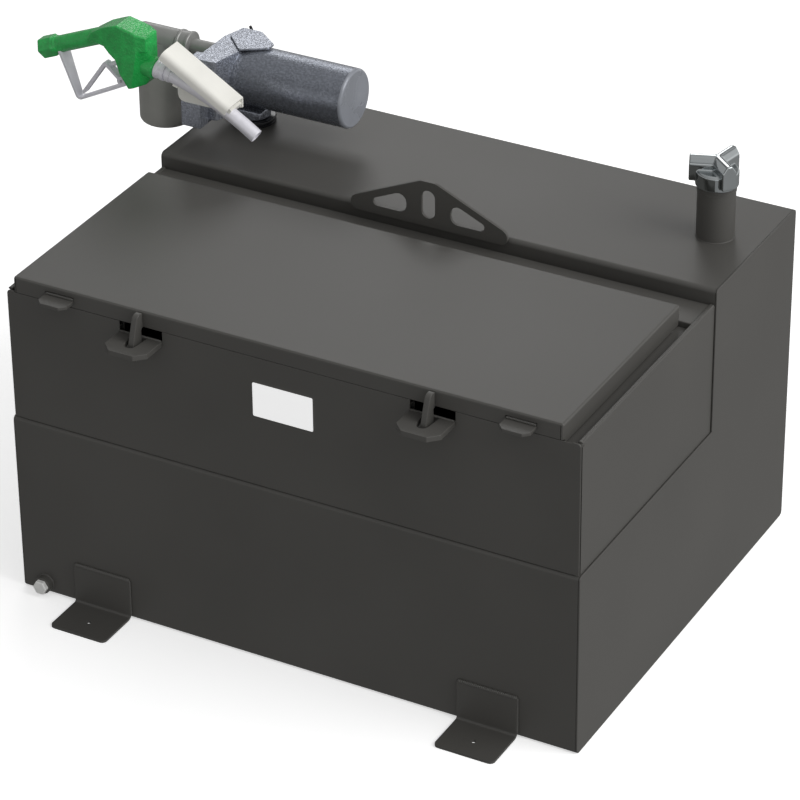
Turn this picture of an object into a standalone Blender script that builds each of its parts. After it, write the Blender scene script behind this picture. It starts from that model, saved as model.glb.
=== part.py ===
"""Truck bed transfer tank: an L-shaped steel fuel tank that carries a lockable toolbox on its low
front part, and a pump, a filter, a nozzle in its holster and a filler on its tall rear part.

Units are metres. The origin is the centre of the tank's underside, +X runs along the tank's
length to the filler's end, the front faces -Y and +Z is up.
"""

import math

import bpy
import bmesh
from mathutils import Matrix, Vector

MM = 0.001

# Running gap between two pieces that touch
SEAT = 0.3 * MM

# Tank
TANK_LENGTH = 1040 * MM
TANK_DEPTH = 800 * MM
TANK_HEIGHT = 600 * MM
LEDGE_HEIGHT = 335 * MM
RISER_DEPTH = 315 * MM
TANK_SHEET = 3 * MM
TANK_BEND = 8 * MM
TANK_INNER_BEND = 0.9 * MM
BAFFLE_COUNT = 2
BAFFLE_SHEET = 2.5 * MM
BAFFLE_HOLE_RADIUS = 55 * MM
BAFFLE_EDGE_GAP = 0.4 * MM

# Toolbox on the ledge
BOX_END_INSET = 3 * MM
BOX_FRONT_INSET = 2 * MM
BOX_SHEET = 2 * MM
BOX_TOP_DROP = 28.5 * MM
BOX_CORNER = 14 * MM
RIM_WIDTH = 8 * MM
RIM_RISE = 2 * MM
GUTTER_DEPTH = 10 * MM
GUTTER_WIDTH = 36 * MM
FRONT_LEDGE_WIDTH = 12 * MM
COLLAR_RISE = 30 * MM
COLLAR_DROP = 16 * MM
FRAME_SHEET = 2 * MM
DECK_DEPTH = 72 * MM
DECK_RISE = 1.5 * MM
DECK_FOLD = 20 * MM

# Lid
LID_FLANGE = 28 * MM
LID_SIDE_FLANGE = 35 * MM
LID_BACK_FLANGE = 22 * MM
LID_SHEET = 2.5 * MM
LID_CORNER = 4 * MM
LID_LEFT_GAP = 14 * MM
LID_RIGHT_GAP = 30 * MM
LID_BACK_GAP = 4 * MM
LID_FRONT_RUN = 0.8 * MM
SEAL_WIDTH = 12 * MM
RIB_WIDTH = 50 * MM
RIB_DEPTH = 14 * MM
HINGE_RADIUS = 3.4 * MM
HINGE_PIN_RADIUS = 1.6 * MM
HINGE_SHEET = 1.5 * MM
HINGE_LEAF = 22 * MM
HINGE_ROOT = 0.9 * MM
HINGE_PIN_GAP = 0.12 * MM
HINGE_KNUCKLES = 9
HINGE_KNUCKLE_GAP = 0.5 * MM
HINGE_END_INSET = 30 * MM

# Lid's lift tabs, hasps and the padlock plates that they pass through
TAB_FROM_END = 105 * MM
TAB_LENGTH = 54 * MM
TAB_REACH = 31 * MM
TAB_THICK = 6 * MM
TAB_DROP = 15 * MM
TAB_CHAMFER = 10 * MM
TAB_SLOT_HEIGHT = 5 * MM
HASP_FROM_END = 257 * MM
HASP_WIDTH = 79 * MM
HASP_REACH = 62 * MM
HASP_THICK = 9.5 * MM
HASP_DROP = 17 * MM
HASP_CHAMFER = 17 * MM
HASP_SLOT_BACK = 28 * MM
HASP_SLOT_RADIUS = 10 * MM
HASP_SLOT_REACH = 32 * MM
FIN_THICK = 10 * MM
FIN_HOLE_RADIUS = 5.5 * MM
FIN_RISE = 26 * MM
FIN_REACH = 32 * MM
FIN_TOP_REACH = 15 * MM
FIN_SET_BACK = 5 * MM
FIN_FOOT_DROP = 13 * MM
FIN_ROUNDS = [3 * MM, 0, 0, 2 * MM, 2 * MM, 4 * MM, 4 * MM, 8 * MM, 10 * MM]

# Name plate, left bare
PLATE_WIDTH = 109 * MM
PLATE_HEIGHT = 61 * MM
PLATE_THICK = 1 * MM
PLATE_DROP = 46 * MM

# Hold-down feet
FOOT_FROM_END = 159 * MM
FOOT_WIDTH = 107 * MM
FOOT_RISE = 75 * MM
FOOT_REACH = 86 * MM
FOOT_SHEET = 4.5 * MM
FOOT_BEND = 9 * MM
FOOT_HOLE_RADIUS = 4 * MM
FOOT_HOLE_REACH = 49 * MM

# Lifting plate on the riser
LIFT_THICK = 5 * MM
LIFT_HALF_LENGTH = 150 * MM
LIFT_FOOT_DROP = 12 * MM
LIFT_END_RISE = 10 * MM
LIFT_PEAK_RISE = 71 * MM
LIFT_PEAK_HALF = 14 * MM
LIFT_BAND = 14 * MM
LIFT_WINDOW_INNER = 41 * MM
LIFT_WINDOW_OUTER = 104 * MM
LIFT_SLOT_WIDTH = 25 * MM
LIFT_ROUNDS = [10 * MM, 10 * MM, 14 * MM, 20 * MM, 20 * MM, 14 * MM]
LIFT_WINDOW_ROUNDS = [14 * MM, 8 * MM, 6 * MM, 14 * MM]

# Drain
DRAIN_FROM_END = 44 * MM
DRAIN_HEIGHT = 20 * MM
DRAIN_RADIUS = 15 * MM
DRAIN_LENGTH = 7.5 * MM
DRAIN_BORE_RADIUS = 9.5 * MM
DRAIN_HEX = 25 * MM
DRAIN_HEAD = 4.5 * MM

# Filler
FILLER_FROM_END = 81 * MM
FILLER_FROM_BACK = 146 * MM
NECK_RADIUS = 32 * MM
NECK_WALL = 3.5 * MM
NECK_RISE = 113 * MM
NECK_DIP = 12 * MM
CAP_RADIUS = 36 * MM
CAP_RISE = 146 * MM
CAP_SKIRT = 51 * MM
CAP_TOP = 6 * MM
CAP_EDGE = 3 * MM
CAP_RUN = 0.4 * MM
LOBE_REACH = 46 * MM
LOBE_WIDTH = 25 * MM
LOBE_RIDGE = 9 * MM
LOBE_CHAMFER = 12 * MM
LOBE_COUNT = 3
LOBE_TURN = math.radians(80)
GASKET_THICK = 3 * MM

# Pump, placed from the centre of its bung on the tank's top
PUMP_FROM_END = 80 * MM
PUMP_FROM_BACK = 135 * MM
BUNG_RADIUS = 38 * MM
BUNG_HEIGHT = 12 * MM
TUBE_RADIUS = 13.35 * MM
TUBE_WALL = 2.9 * MM
TUBE_FLOOR_GAP = 15 * MM
PUMP_NECK_RADIUS = 29 * MM
PUMP_FLOOR = 31 * MM
PUMP_TOP = 141.5 * MM
PUMP_LEFT = -63 * MM
PUMP_RIGHT = -10 * MM
PUMP_FRONT = -88 * MM
PUMP_BACK = 50 * MM
PUMP_FOOT_FRONT = -115 * MM
PUMP_FOOT_LEFT = -77 * MM
PUMP_FOOT_RIGHT = -39 * MM
PUMP_FOOT_FLOOR = 24 * MM
PUMP_FOOT_TOP = 98 * MM
MOTOR_RADIUS = 52.5 * MM
MOTOR_RISE = 88 * MM
MOTOR_BACK = -3 * MM
MOTOR_END = 202.5 * MM
MOTOR_RIM = 4 * MM
MOTOR_CAP_LENGTH = 26 * MM
WIRING_THICK = 16 * MM
SWITCH_LENGTH = 22 * MM
SWITCH_RADIUS = 3 * MM
COVER_RADIUS = 24 * MM
COVER_THICK = 8 * MM
COVER_DROP = 42 * MM
SCREW_RADIUS = 3 * MM
SCREW_HEIGHT = 3.5 * MM

# Outlet pipe and filter
OUTLET_RISE = 117 * MM
NIPPLE_END = -130 * MM
COUPLING_NEAR = -118 * MM
COUPLING_FAR = -143 * MM
COUPLING_RADIUS = 25 * MM
FILTER_CENTRE = -176 * MM
FILTER_RADIUS = 49 * MM
FILTER_TOP = 75 * MM
FILTER_BOTTOM = -35 * MM
FILTER_HEAD_RADIUS = 23 * MM
FILTER_HEAD_END = -222 * MM

# Nozzle holster, placed from the pump's bung
HOLSTER_SHEET = 3 * MM
HOOD_LEFT = -78.6 * MM
HOOD_RIGHT = 48.4 * MM
HOOD_LEFT_RISE = 182 * MM
HOOD_SLOPE = math.radians(31)
HOOD_DEPTH = 45 * MM
HOOD_LIP = 18 * MM
HOOD_ROUND = 10 * MM
PLATE_FLOOR = 72 * MM

# Nozzle, placed from the point where its spout leaves the body
NOZZLE_FROM_PUMP = -105 * MM
NOZZLE_RISE = 136.5 * MM
NOZZLE_THICK = 50 * MM
NOZZLE_EDGE = 3 * MM
BODY_FROM_SPOUT = 8 * MM
BODY_LENGTH = 119 * MM
BODY_HEIGHT = 115 * MM
BODY_FOOT = 39.5 * MM
BODY_FLANK_NEAR = 26 * MM
BODY_FLANK_FAR = 56 * MM
BODY_FLANK_NEAR_TURN = math.radians(20)
BODY_FLANK_FAR_TURN = math.radians(7.5)
HANDLE_REACH = 201 * MM
HANDLE_RISE = 0.4 * MM
HANDLE_LENGTH = 120 * MM
HANDLE_TILT = math.radians(22.4)
HANDLE_STEP = 1.8 * MM
HANDLE_RADIUS = 15 * MM
INLET_HEX = 35 * MM
INLET_LENGTH = 30 * MM
INLET_BORE_RADIUS = 11.35 * MM
SPOUT_REACH = 194 * MM
SPOUT_DROP = 83.5 * MM
SPOUT_KNEE_REACH = 90 * MM
SPOUT_KNEE_DROP = 12.5 * MM
SPOUT_RADIUS = 12.5 * MM
SPOUT_WALL = 1.6 * MM
SPOUT_CLEARANCE = 0.8 * MM
COLLAR_RADIUS = 16 * MM
COLLAR_LENGTH = 20 * MM
FERRULE_RADIUS = 14 * MM
GUARD_THICK = 4 * MM
GUARD_WIDTH_TOP = 30 * MM
GUARD_WIDTH_LOW = 18 * MM
GUARD_REACH = 189.5 * MM
GUARD_CORNER_REACH = 159 * MM
GUARD_CORNER_DROP = 94 * MM
GUARD_FOOT_REACH = 51 * MM
GUARD_FOOT_DROP = 39 * MM
PIVOT_REACH = 67 * MM
PIVOT_DROP = 35.5 * MM
LEVER_KNEE_REACH = 34 * MM
LEVER_KNEE_RISE = 30 * MM
LEVER_REACH = 83 * MM
LEVER_DROP = 39 * MM
LEVER_WIDTH = 14 * MM
LEVER_THICK = 6 * MM
LEVER_EYE_RADIUS = 5.5 * MM
LEVER_PIN_RADIUS = 2.5 * MM
PIN_RUN = 0.15 * MM
EYE_PROUD = 0.4 * MM
STEM_RADIUS = 4.5 * MM
STEM_LENGTH = 36 * MM
STEM_BORE_DEPTH = 48 * MM
STEM_REACH = 89.5 * MM
STEM_DROP = 11.5 * MM
STEM_TILT = math.radians(25)

# Values worked out from the driving dimensions
HALF_LENGTH = TANK_LENGTH / 2
FOOT_CENTRE = HALF_LENGTH - FOOT_FROM_END
TAB_CENTRE = HALF_LENGTH - TAB_FROM_END
HASP_CENTRE = HALF_LENGTH - HASP_FROM_END
FRONT_Y = -TANK_DEPTH / 2
BACK_Y = TANK_DEPTH / 2
RISER_Y = BACK_Y - RISER_DEPTH
BOX_FLOOR = LEDGE_HEIGHT + SEAT
BOX_TOP = TANK_HEIGHT - BOX_TOP_DROP
BOX_HALF = HALF_LENGTH - BOX_END_INSET
BOX_FRONT = FRONT_Y + BOX_FRONT_INSET
BOX_BACK = RISER_Y - SEAT
GUTTER_FLOOR = BOX_TOP - GUTTER_DEPTH + DECK_RISE
COLLAR_HALF = BOX_HALF - RIM_WIDTH - GUTTER_WIDTH
COLLAR_FRONT = BOX_FRONT + BOX_SHEET + FRONT_LEDGE_WIDTH
DECK_TOP = BOX_TOP + DECK_RISE
DECK_FRONT = BOX_BACK - DECK_DEPTH
LID_TOP = BOX_TOP + LID_FLANGE + LID_FRONT_RUN
LID_BACK = DECK_FRONT + LID_BACK_GAP
LID_LEFT = -BOX_HALF + LID_LEFT_GAP
LID_RIGHT = BOX_HALF - LID_RIGHT_GAP
LID_BACK_BOTTOM = LID_TOP - LID_BACK_FLANGE
HINGE_REACH = SEAT + HINGE_SHEET + HINGE_RADIUS - HINGE_ROOT
HINGE_Y = LID_BACK + HINGE_REACH
HINGE_Z = DECK_TOP + HINGE_REACH
PUMP_X = -HALF_LENGTH + PUMP_FROM_END
PUMP_Y = BACK_Y - PUMP_FROM_BACK
FILLER_X = HALF_LENGTH - FILLER_FROM_END
FILLER_Y = BACK_Y - FILLER_FROM_BACK
DRAIN_X = -HALF_LENGTH + DRAIN_FROM_END
HOLSTER_BACK = PUMP_FOOT_FRONT - SEAT
HOLSTER_FRONT = HOLSTER_BACK - HOLSTER_SHEET
NOZZLE_Y = HOLSTER_FRONT - (HOOD_DEPTH + HOLSTER_SHEET) / 2
TUBE_BORE = TUBE_RADIUS + SEAT
HANDLE_START = Vector((-HANDLE_REACH, 0, HANDLE_RISE))
PIVOT = Vector((-PIVOT_REACH, 0, -PIVOT_DROP))

# The nozzle body's side outline, as shares of its length back from the spout and of its height
BODY_OUTLINE = [(1.0, 0.635), (0.941, 0.757), (0.731, 0.896), (0.466, 1.0), (0.227, 0.948), (0.0, 0.878),
                (0.0, 0.217), (0.076, 0.078), (0.303, 0.0), (0.445, 0.217), (0.508, 0.426), (0.622, 0.509),
                (0.706, 0.596)]

# Turns that stand a flat outline up: across the tank's depth, and along its length
ACROSS = (math.pi / 2, 0, 0)
ALONG = (math.pi / 2, 0, math.pi / 2)


# Scene, collections and materials

def clear_scene():
    for obj in list(bpy.data.objects):
        bpy.data.objects.remove(obj, do_unlink=True)


def make_collection(name, hidden=False):
    group = bpy.data.collections.new(name)
    bpy.context.scene.collection.children.link(group)
    group.hide_render = hidden
    return group


clear_scene()
PARTS = make_collection("transfer_tank")
CUTTERS = make_collection("cutters", hidden=True)


def make_material(name, colour, roughness, metallic):
    material = bpy.data.materials.new(name)
    material.use_nodes = True
    shader = material.node_tree.nodes["Principled BSDF"]
    shader.inputs["Base Color"].default_value = (*colour, 1)
    shader.inputs["Roughness"].default_value = roughness
    shader.inputs["Metallic"].default_value = metallic
    material.diffuse_color = (*colour, 1)
    return material


POWDER_COAT = make_material("grey_powder_coat", (0.055, 0.053, 0.050), 0.55, 0.0)
BLACK_STEEL = make_material("black_steel", (0.012, 0.012, 0.013), 0.45, 0.3)
BARE_STEEL = make_material("bare_steel", (0.45, 0.45, 0.46), 0.35, 1.0)
CHROME = make_material("chrome", (0.62, 0.63, 0.64), 0.08, 1.0)
RUBBER = make_material("black_rubber", (0.015, 0.015, 0.015), 0.8, 0.0)
WHITE_PLATE = make_material("white_plate", (0.85, 0.86, 0.88), 0.35, 0.0)
HAMMERED = make_material("hammered_grey", (0.10, 0.11, 0.14), 0.35, 0.6)
PIPE_GREY = make_material("pipe_grey", (0.17, 0.165, 0.155), 0.45, 0.2)
CREAM = make_material("cream_plastic", (0.62, 0.60, 0.52), 0.4, 0.0)
GREEN = make_material("green_enamel", (0.01, 0.19, 0.06), 0.25, 0.0)
SILVER = make_material("silver_metal", (0.62, 0.61, 0.66), 0.35, 0.7)


# Outlines

def rounded(corners, radius, steps=3):
    """Returns the outline with an arc at each corner; radius is one value or one per corner."""
    radii = radius if isinstance(radius, list) else [radius] * len(corners)
    outline = []
    for index, corner in enumerate(corners):
        here = Vector(corner)
        to_last = (Vector(corners[index - 1]) - here).normalized()
        to_next = (Vector(corners[(index + 1) % len(corners)]) - here).normalized()
        if radii[index] <= 0:
            outline.append(tuple(here))
            continue
        half = to_last.angle(to_next) / 2
        centre = here + (to_last + to_next).normalized() * (radii[index] / math.sin(half))
        reach = radii[index] / math.tan(half)
        first = here + to_last * reach - centre
        last = here + to_next * reach - centre
        sweep = math.atan2(first.x * last.y - first.y * last.x, first.dot(last))
        for step in range(steps + 1):
            outline.append(tuple(centre + Matrix.Rotation(sweep * step / steps, 2) @ first))
    return outline


def inset(corners, distance):
    """Moves each edge of a counter-clockwise outline inward by the distance."""
    moved = []
    for index, corner in enumerate(corners):
        here = Vector(corner)
        edge_in = (here - Vector(corners[index - 1])).normalized()
        edge_out = (Vector(corners[(index + 1) % len(corners)]) - here).normalized()
        normal_in = Vector((-edge_in.y, edge_in.x))
        normal_out = Vector((-edge_out.y, edge_out.x))
        share = distance / (1 + normal_in.dot(normal_out))
        moved.append(tuple(here + (normal_in + normal_out) * share))
    return moved


def strip(path, thickness):
    """Returns the closed section of a folded sheet, whose material lies left of the path."""
    far_side = []
    for index, point in enumerate(path):
        here = Vector(point)
        ahead = path[index + 1] if index + 1 < len(path) else None
        behind = path[index - 1] if index else None
        edges = []
        if behind is not None:
            edges.append((here - Vector(behind)).normalized())
        if ahead is not None:
            edges.append((Vector(ahead) - here).normalized())
        normals = [Vector((-edge.y, edge.x)) for edge in edges]
        share = thickness / (1 + normals[0].dot(normals[-1]))
        far_side.append(tuple(here + (normals[0] + normals[-1]) * share))
    return list(path) + far_side[::-1]


def circle(centre, radius, steps=24):
    return [(centre[0] + radius * math.cos(2 * math.pi * step / steps),
             centre[1] + radius * math.sin(2 * math.pi * step / steps)) for step in range(steps)]


def rectangle(left, bottom, right, top):
    return [(left, bottom), (right, bottom), (right, top), (left, top)]


def arc(centre, radius, start, end, steps):
    """Points on an arc from the start angle to the end angle, in degrees."""
    points = []
    for step in range(steps + 1):
        angle = math.radians(start + (end - start) * step / steps)
        points.append((centre[0] + radius * math.cos(angle), centre[1] + radius * math.sin(angle)))
    return points


# Solids

def link(name, data, material, at=(0, 0, 0), turn=(0, 0, 0), parent=None):
    obj = bpy.data.objects.new(name, data)
    obj.location = at
    obj.rotation_euler = turn
    obj.parent = parent
    data.materials.clear()
    data.materials.append(material)
    PARTS.objects.link(obj)
    return obj


def flat_curve(name, loops, thickness):
    curve = bpy.data.curves.new(name, "CURVE")
    curve.dimensions = "2D"
    curve.fill_mode = "BOTH"
    curve.extrude = thickness / 2
    for loop in loops:
        spline = curve.splines.new("POLY")
        spline.points.add(len(loop) - 1)
        for point, (across, up) in zip(spline.points, loop):
            point.co = (across, up, 0, 1)
        spline.use_cyclic_u = True
    return curve


def plate(name, loops, thickness, material, at=(0, 0, 0), turn=(0, 0, 0), parent=None):
    """A flat outline, with its holes as further loops, made a solid of the given thickness."""
    obj = link(name, flat_curve(name, loops, thickness), material, at, turn, parent)
    return as_mesh(obj)


def as_mesh(obj):
    """Turns a curve or a modified mesh into a plain mesh with its seams welded."""
    bpy.context.view_layer.update()
    graph = bpy.context.evaluated_depsgraph_get()
    mesh = bpy.data.meshes.new_from_object(obj.evaluated_get(graph))
    work = bmesh.new()
    work.from_mesh(mesh)
    bmesh.ops.remove_doubles(work, verts=work.verts, dist=0.01 * MM)
    bmesh.ops.recalc_face_normals(work, faces=work.faces)
    work.to_mesh(mesh)
    work.free()
    name = obj.name
    material = obj.data.materials[0]
    place = (tuple(obj.location), tuple(obj.rotation_euler), obj.parent)
    old_data = obj.data
    bpy.data.objects.remove(obj, do_unlink=True)
    if isinstance(old_data, bpy.types.Curve):
        bpy.data.curves.remove(old_data)
    else:
        bpy.data.meshes.remove(old_data)
    mesh.name = name
    return link(name, mesh, material, *place)


def block(name, low, high, material, parent=None, edge=0.0, segments=2):
    """A box between two corners, with its edges rounded."""
    low = Vector(low)
    high = Vector(high)
    mesh = bpy.data.meshes.new(name)
    work = bmesh.new()
    bmesh.ops.create_cube(work, size=1)
    bmesh.ops.scale(work, vec=high - low, verts=work.verts)
    work.to_mesh(mesh)
    work.free()
    obj = link(name, mesh, material, (low + high) / 2, parent=parent)
    if edge > 0:
        round_edges(obj, edge, segments)
    return obj


def casting(name, corners, thickness, edge, material, parent):
    """A cast block standing across the depth: its outline, drawn in toward both faces."""
    half = thickness / 2
    layers = [(edge, -half), (edge / 3, -half + edge / 3), (0, -half + edge),
              (0, half - edge), (edge / 3, half - edge / 3), (edge, half)]
    mesh = bpy.data.meshes.new(name)
    work = bmesh.new()
    loops = []
    for drawn_in, height in layers:
        loop = inset(corners, drawn_in) if drawn_in else corners
        loops.append([work.verts.new((across, up, height)) for across, up in loop])
    for low, high in zip(loops, loops[1:]):
        for index in range(len(low)):
            after = (index + 1) % len(low)
            work.faces.new((low[index], low[after], high[after], high[index]))
    caps = [work.faces.new(loops[0][::-1]), work.faces.new(loops[-1])]
    bmesh.ops.triangulate(work, faces=caps)
    work.to_mesh(mesh)
    work.free()
    return link(name, mesh, material, turn=ACROSS, parent=parent)


def round_edges(obj, width, segments=2, angle=30):
    bevel = obj.modifiers.new("round_edges", "BEVEL")
    bevel.width = width
    bevel.segments = segments
    bevel.limit_method = "ANGLE"
    bevel.angle_limit = math.radians(angle)
    bevel.use_clamp_overlap = True
    return obj


def turned(name, profile, material, at=(0, 0, 0), turn=(0, 0, 0), parent=None, steps=32, ring=False):
    """A turned piece: the profile runs down its outer side from the top, as (radius, height)."""
    mesh = bpy.data.meshes.new(name)
    work = bmesh.new()
    verts = [work.verts.new((radius, 0, height)) for radius, height in profile]
    for first, second in zip(verts, verts[1:]):
        work.edges.new((first, second))
    if ring:
        work.edges.new((verts[-1], verts[0]))
    work.to_mesh(mesh)
    work.free()
    obj = link(name, mesh, material, at, turn, parent)
    screw = obj.modifiers.new("turn", "SCREW")
    screw.steps = steps
    screw.render_steps = steps
    screw.use_merge_vertices = True
    screw.merge_threshold = 0.01 * MM
    return obj


def rod(name, start, end, radius, material, parent=None, steps=24, edge=0.0):
    """A round bar between two points, its rims chamfered by the edge."""
    start = Vector(start)
    end = Vector(end)
    length = (end - start).length
    turn = (end - start).to_track_quat("Z", "Y").to_euler()
    profile = [(0, length)]
    if edge > 0:
        profile += [(radius - edge, length), (radius, length - edge), (radius, edge), (radius - edge, 0)]
    else:
        profile += [(radius, length), (radius, 0)]
    profile.append((0, 0))
    return turned(name, profile, material, start, turn, parent, steps)


def pipe(name, start, end, outer, inner, material, parent=None, steps=24):
    """A round tube, open at both ends, between two points."""
    start = Vector(start)
    end = Vector(end)
    length = (end - start).length
    turn = (end - start).to_track_quat("Z", "Y").to_euler()
    profile = [(inner, length), (outer, length), (outer, 0), (inner, 0)]
    return turned(name, profile, material, start, turn, parent, steps, ring=True)


def cutter(obj):
    """Moves a solid among the cutters, hidden from the render."""
    PARTS.objects.unlink(obj)
    CUTTERS.objects.link(obj)
    obj.hide_render = True
    obj.display_type = "WIRE"
    return obj


def boolean(obj, other, operation):
    step = obj.modifiers.new(operation.lower() + "_" + other.name, "BOOLEAN")
    step.operation = operation
    step.solver = "EXACT"
    step.object = other
    return obj


def cut(obj, other):
    return boolean(obj, cutter(other), "DIFFERENCE")


def join(obj, other):
    return boolean(obj, cutter(other), "UNION")


def shade(obj, angle=35):
    obj.data.shade_smooth()
    obj.data.set_sharp_from_angle(angle=math.radians(angle))
    return obj


def empty(name, at, parent=None):
    marker = bpy.data.objects.new(name, None)
    marker.location = at
    marker.parent = parent
    PARTS.objects.link(marker)
    return marker


# Tank

def tank_outline():
    """The tank's end outline, across and up, counter-clockwise from the front foot."""
    return [(FRONT_Y, 0), (BACK_Y, 0), (BACK_Y, TANK_HEIGHT), (RISER_Y, TANK_HEIGHT),
            (RISER_Y, LEDGE_HEIGHT), (FRONT_Y, LEDGE_HEIGHT)]


def bend_radii(inward):
    """The fold radii of the outline moved inward; the fold at the riser's foot turns the other way."""
    outward_bend = TANK_BEND - inward
    return [outward_bend, outward_bend, outward_bend, outward_bend, TANK_INNER_BEND + inward, outward_bend]


def make_tank():
    outer = rounded(tank_outline(), bend_radii(0))
    inner = rounded(inset(tank_outline(), TANK_SHEET), bend_radii(TANK_SHEET))
    band_length = TANK_LENGTH - 2 * (TANK_SHEET + SEAT)
    wrapper = plate("tank_wrapper", [outer, inner], band_length, POWDER_COAT, turn=ALONG)
    neck_hole = rod("neck_hole", (FILLER_X, FILLER_Y, TANK_HEIGHT - TANK_BEND),
                    (FILLER_X, FILLER_Y, TANK_HEIGHT + TANK_BEND), NECK_RADIUS + SEAT, POWDER_COAT)
    bung_hole = rod("bung_hole", (PUMP_X, PUMP_Y, TANK_HEIGHT - TANK_BEND),
                    (PUMP_X, PUMP_Y, TANK_HEIGHT + TANK_BEND), TUBE_BORE, POWDER_COAT)
    drain_hole = rod("drain_hole", (DRAIN_X, FRONT_Y - TANK_BEND, DRAIN_HEIGHT),
                     (DRAIN_X, FRONT_Y + TANK_BEND, DRAIN_HEIGHT), DRAIN_BORE_RADIUS + SEAT, POWDER_COAT)
    for hole in (neck_hole, bung_hole, drain_hole):
        cut(wrapper, hole)
    for side, name in ((-1, "tank_end_left"), (1, "tank_end_right")):
        plate(name, [outer], TANK_SHEET, POWDER_COAT,
              at=(side * (HALF_LENGTH - TANK_SHEET / 2), 0, 0), turn=ALONG)


def make_baffles():
    """Surge plates inside the tank, with holes that let the fuel through."""
    edge = inset(tank_outline(), TANK_SHEET + BAFFLE_EDGE_GAP)
    outline = rounded(edge, bend_radii(TANK_SHEET), 2)
    half_height = LEDGE_HEIGHT / 2
    holes = [circle((across, half_height), BAFFLE_HOLE_RADIUS, 16)
             for across in (FRONT_Y / 2, RISER_Y / 2, (RISER_Y + BACK_Y) / 2)]
    holes.append(circle(((RISER_Y + BACK_Y) / 2, (LEDGE_HEIGHT + TANK_HEIGHT) / 2), BAFFLE_HOLE_RADIUS, 16))
    spacing = TANK_LENGTH / (BAFFLE_COUNT + 1)
    for index in range(BAFFLE_COUNT):
        along = -HALF_LENGTH + spacing * (index + 1)
        plate("surge_baffle_%d" % (index + 1), [outline] + holes, BAFFLE_SHEET, POWDER_COAT,
              at=(along, 0, 0), turn=ALONG)


def make_feet():
    """Angle brackets at the tank's foot, two in front and two behind, each with a bolt hole."""
    for facing, where in ((-1, "front"), (1, "rear")):
        for side, hand in ((-1, "left"), (1, "right")):
            make_foot("foot_%s_%s" % (where, hand), side * FOOT_CENTRE, facing)


def make_foot(name, along, facing):
    wall = BACK_Y + SEAT
    path = [(wall, FOOT_RISE), (wall, 0), (wall + FOOT_REACH, 0)]
    section = strip(path, FOOT_SHEET)
    section = rounded(section, [0, FOOT_BEND, 0, 0, FOOT_BEND - FOOT_SHEET, 0])
    turn = (math.pi / 2, 0, math.pi / 2 if facing > 0 else -math.pi / 2)
    foot = plate(name, [section], FOOT_WIDTH, POWDER_COAT, at=(along, 0, 0), turn=turn)
    hole_y = facing * (BACK_Y + FOOT_HOLE_REACH)
    hole = rod(name + "_hole", (along, hole_y, -FOOT_SHEET), (along, hole_y, 2 * FOOT_SHEET),
               FOOT_HOLE_RADIUS, POWDER_COAT, steps=20)
    cut(foot, hole)


def make_drain():
    face = FRONT_Y - SEAT
    pipe("drain_coupling", (DRAIN_X, face, DRAIN_HEIGHT), (DRAIN_X, face - DRAIN_LENGTH, DRAIN_HEIGHT),
         DRAIN_RADIUS, DRAIN_BORE_RADIUS + SEAT, BLACK_STEEL)
    head_start = face - DRAIN_LENGTH - SEAT
    hex_radius = DRAIN_HEX / math.sqrt(3)
    shank_length = DRAIN_LENGTH + TANK_SHEET
    profile = [(0, DRAIN_HEAD), (hex_radius, DRAIN_HEAD), (hex_radius, 0), (0, 0)]
    turn = (math.pi / 2, 0, 0)
    plug = turned("drain_plug", profile, BARE_STEEL, (DRAIN_X, head_start, DRAIN_HEIGHT), turn, steps=6)
    shank = rod("drain_shank", (DRAIN_X, head_start + shank_length, DRAIN_HEIGHT),
                (DRAIN_X, head_start - DRAIN_HEAD / 2, DRAIN_HEIGHT), DRAIN_BORE_RADIUS, BARE_STEEL)
    join(plug, shank)


def make_lifting_plate():
    """A gusset-shaped plate on the riser's face, with three weight-saving slots."""
    foot = TANK_HEIGHT - LIFT_FOOT_DROP
    end = TANK_HEIGHT + LIFT_END_RISE
    peak = TANK_HEIGHT + LIFT_PEAK_RISE
    half = LIFT_HALF_LENGTH
    outline = rounded([(-half + 8 * MM, foot), (half - 8 * MM, foot), (half, end), (LIFT_PEAK_HALF, peak),
                       (-LIFT_PEAK_HALF, peak), (-half, end)],
                      LIFT_ROUNDS, 3)
    slope = (peak - end) / (half - LIFT_PEAK_HALF)
    low = foot + LIFT_BAND + 2 * MM
    inner_top = peak - LIFT_BAND - slope * (LIFT_WINDOW_INNER - LIFT_PEAK_HALF)
    outer_top = peak - LIFT_BAND - slope * (LIFT_WINDOW_OUTER - LIFT_PEAK_HALF)
    window = [(LIFT_WINDOW_INNER, low), (LIFT_WINDOW_OUTER, low), (LIFT_WINDOW_OUTER, outer_top),
              (LIFT_WINDOW_INNER, inner_top)]
    right = rounded(window, LIFT_WINDOW_ROUNDS, 4)
    left = [(-across, up) for across, up in right][::-1]
    slot_half = LIFT_SLOT_WIDTH / 2
    slot = rounded(rectangle(-slot_half, low, slot_half, peak - LIFT_BAND - 2 * MM), slot_half * 0.98, 4)
    plate("lifting_plate", [outline, right, left, slot], LIFT_THICK, POWDER_COAT,
          at=(0, RISER_Y - SEAT - LIFT_THICK / 2, 0), turn=ACROSS)


# Filler

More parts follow.
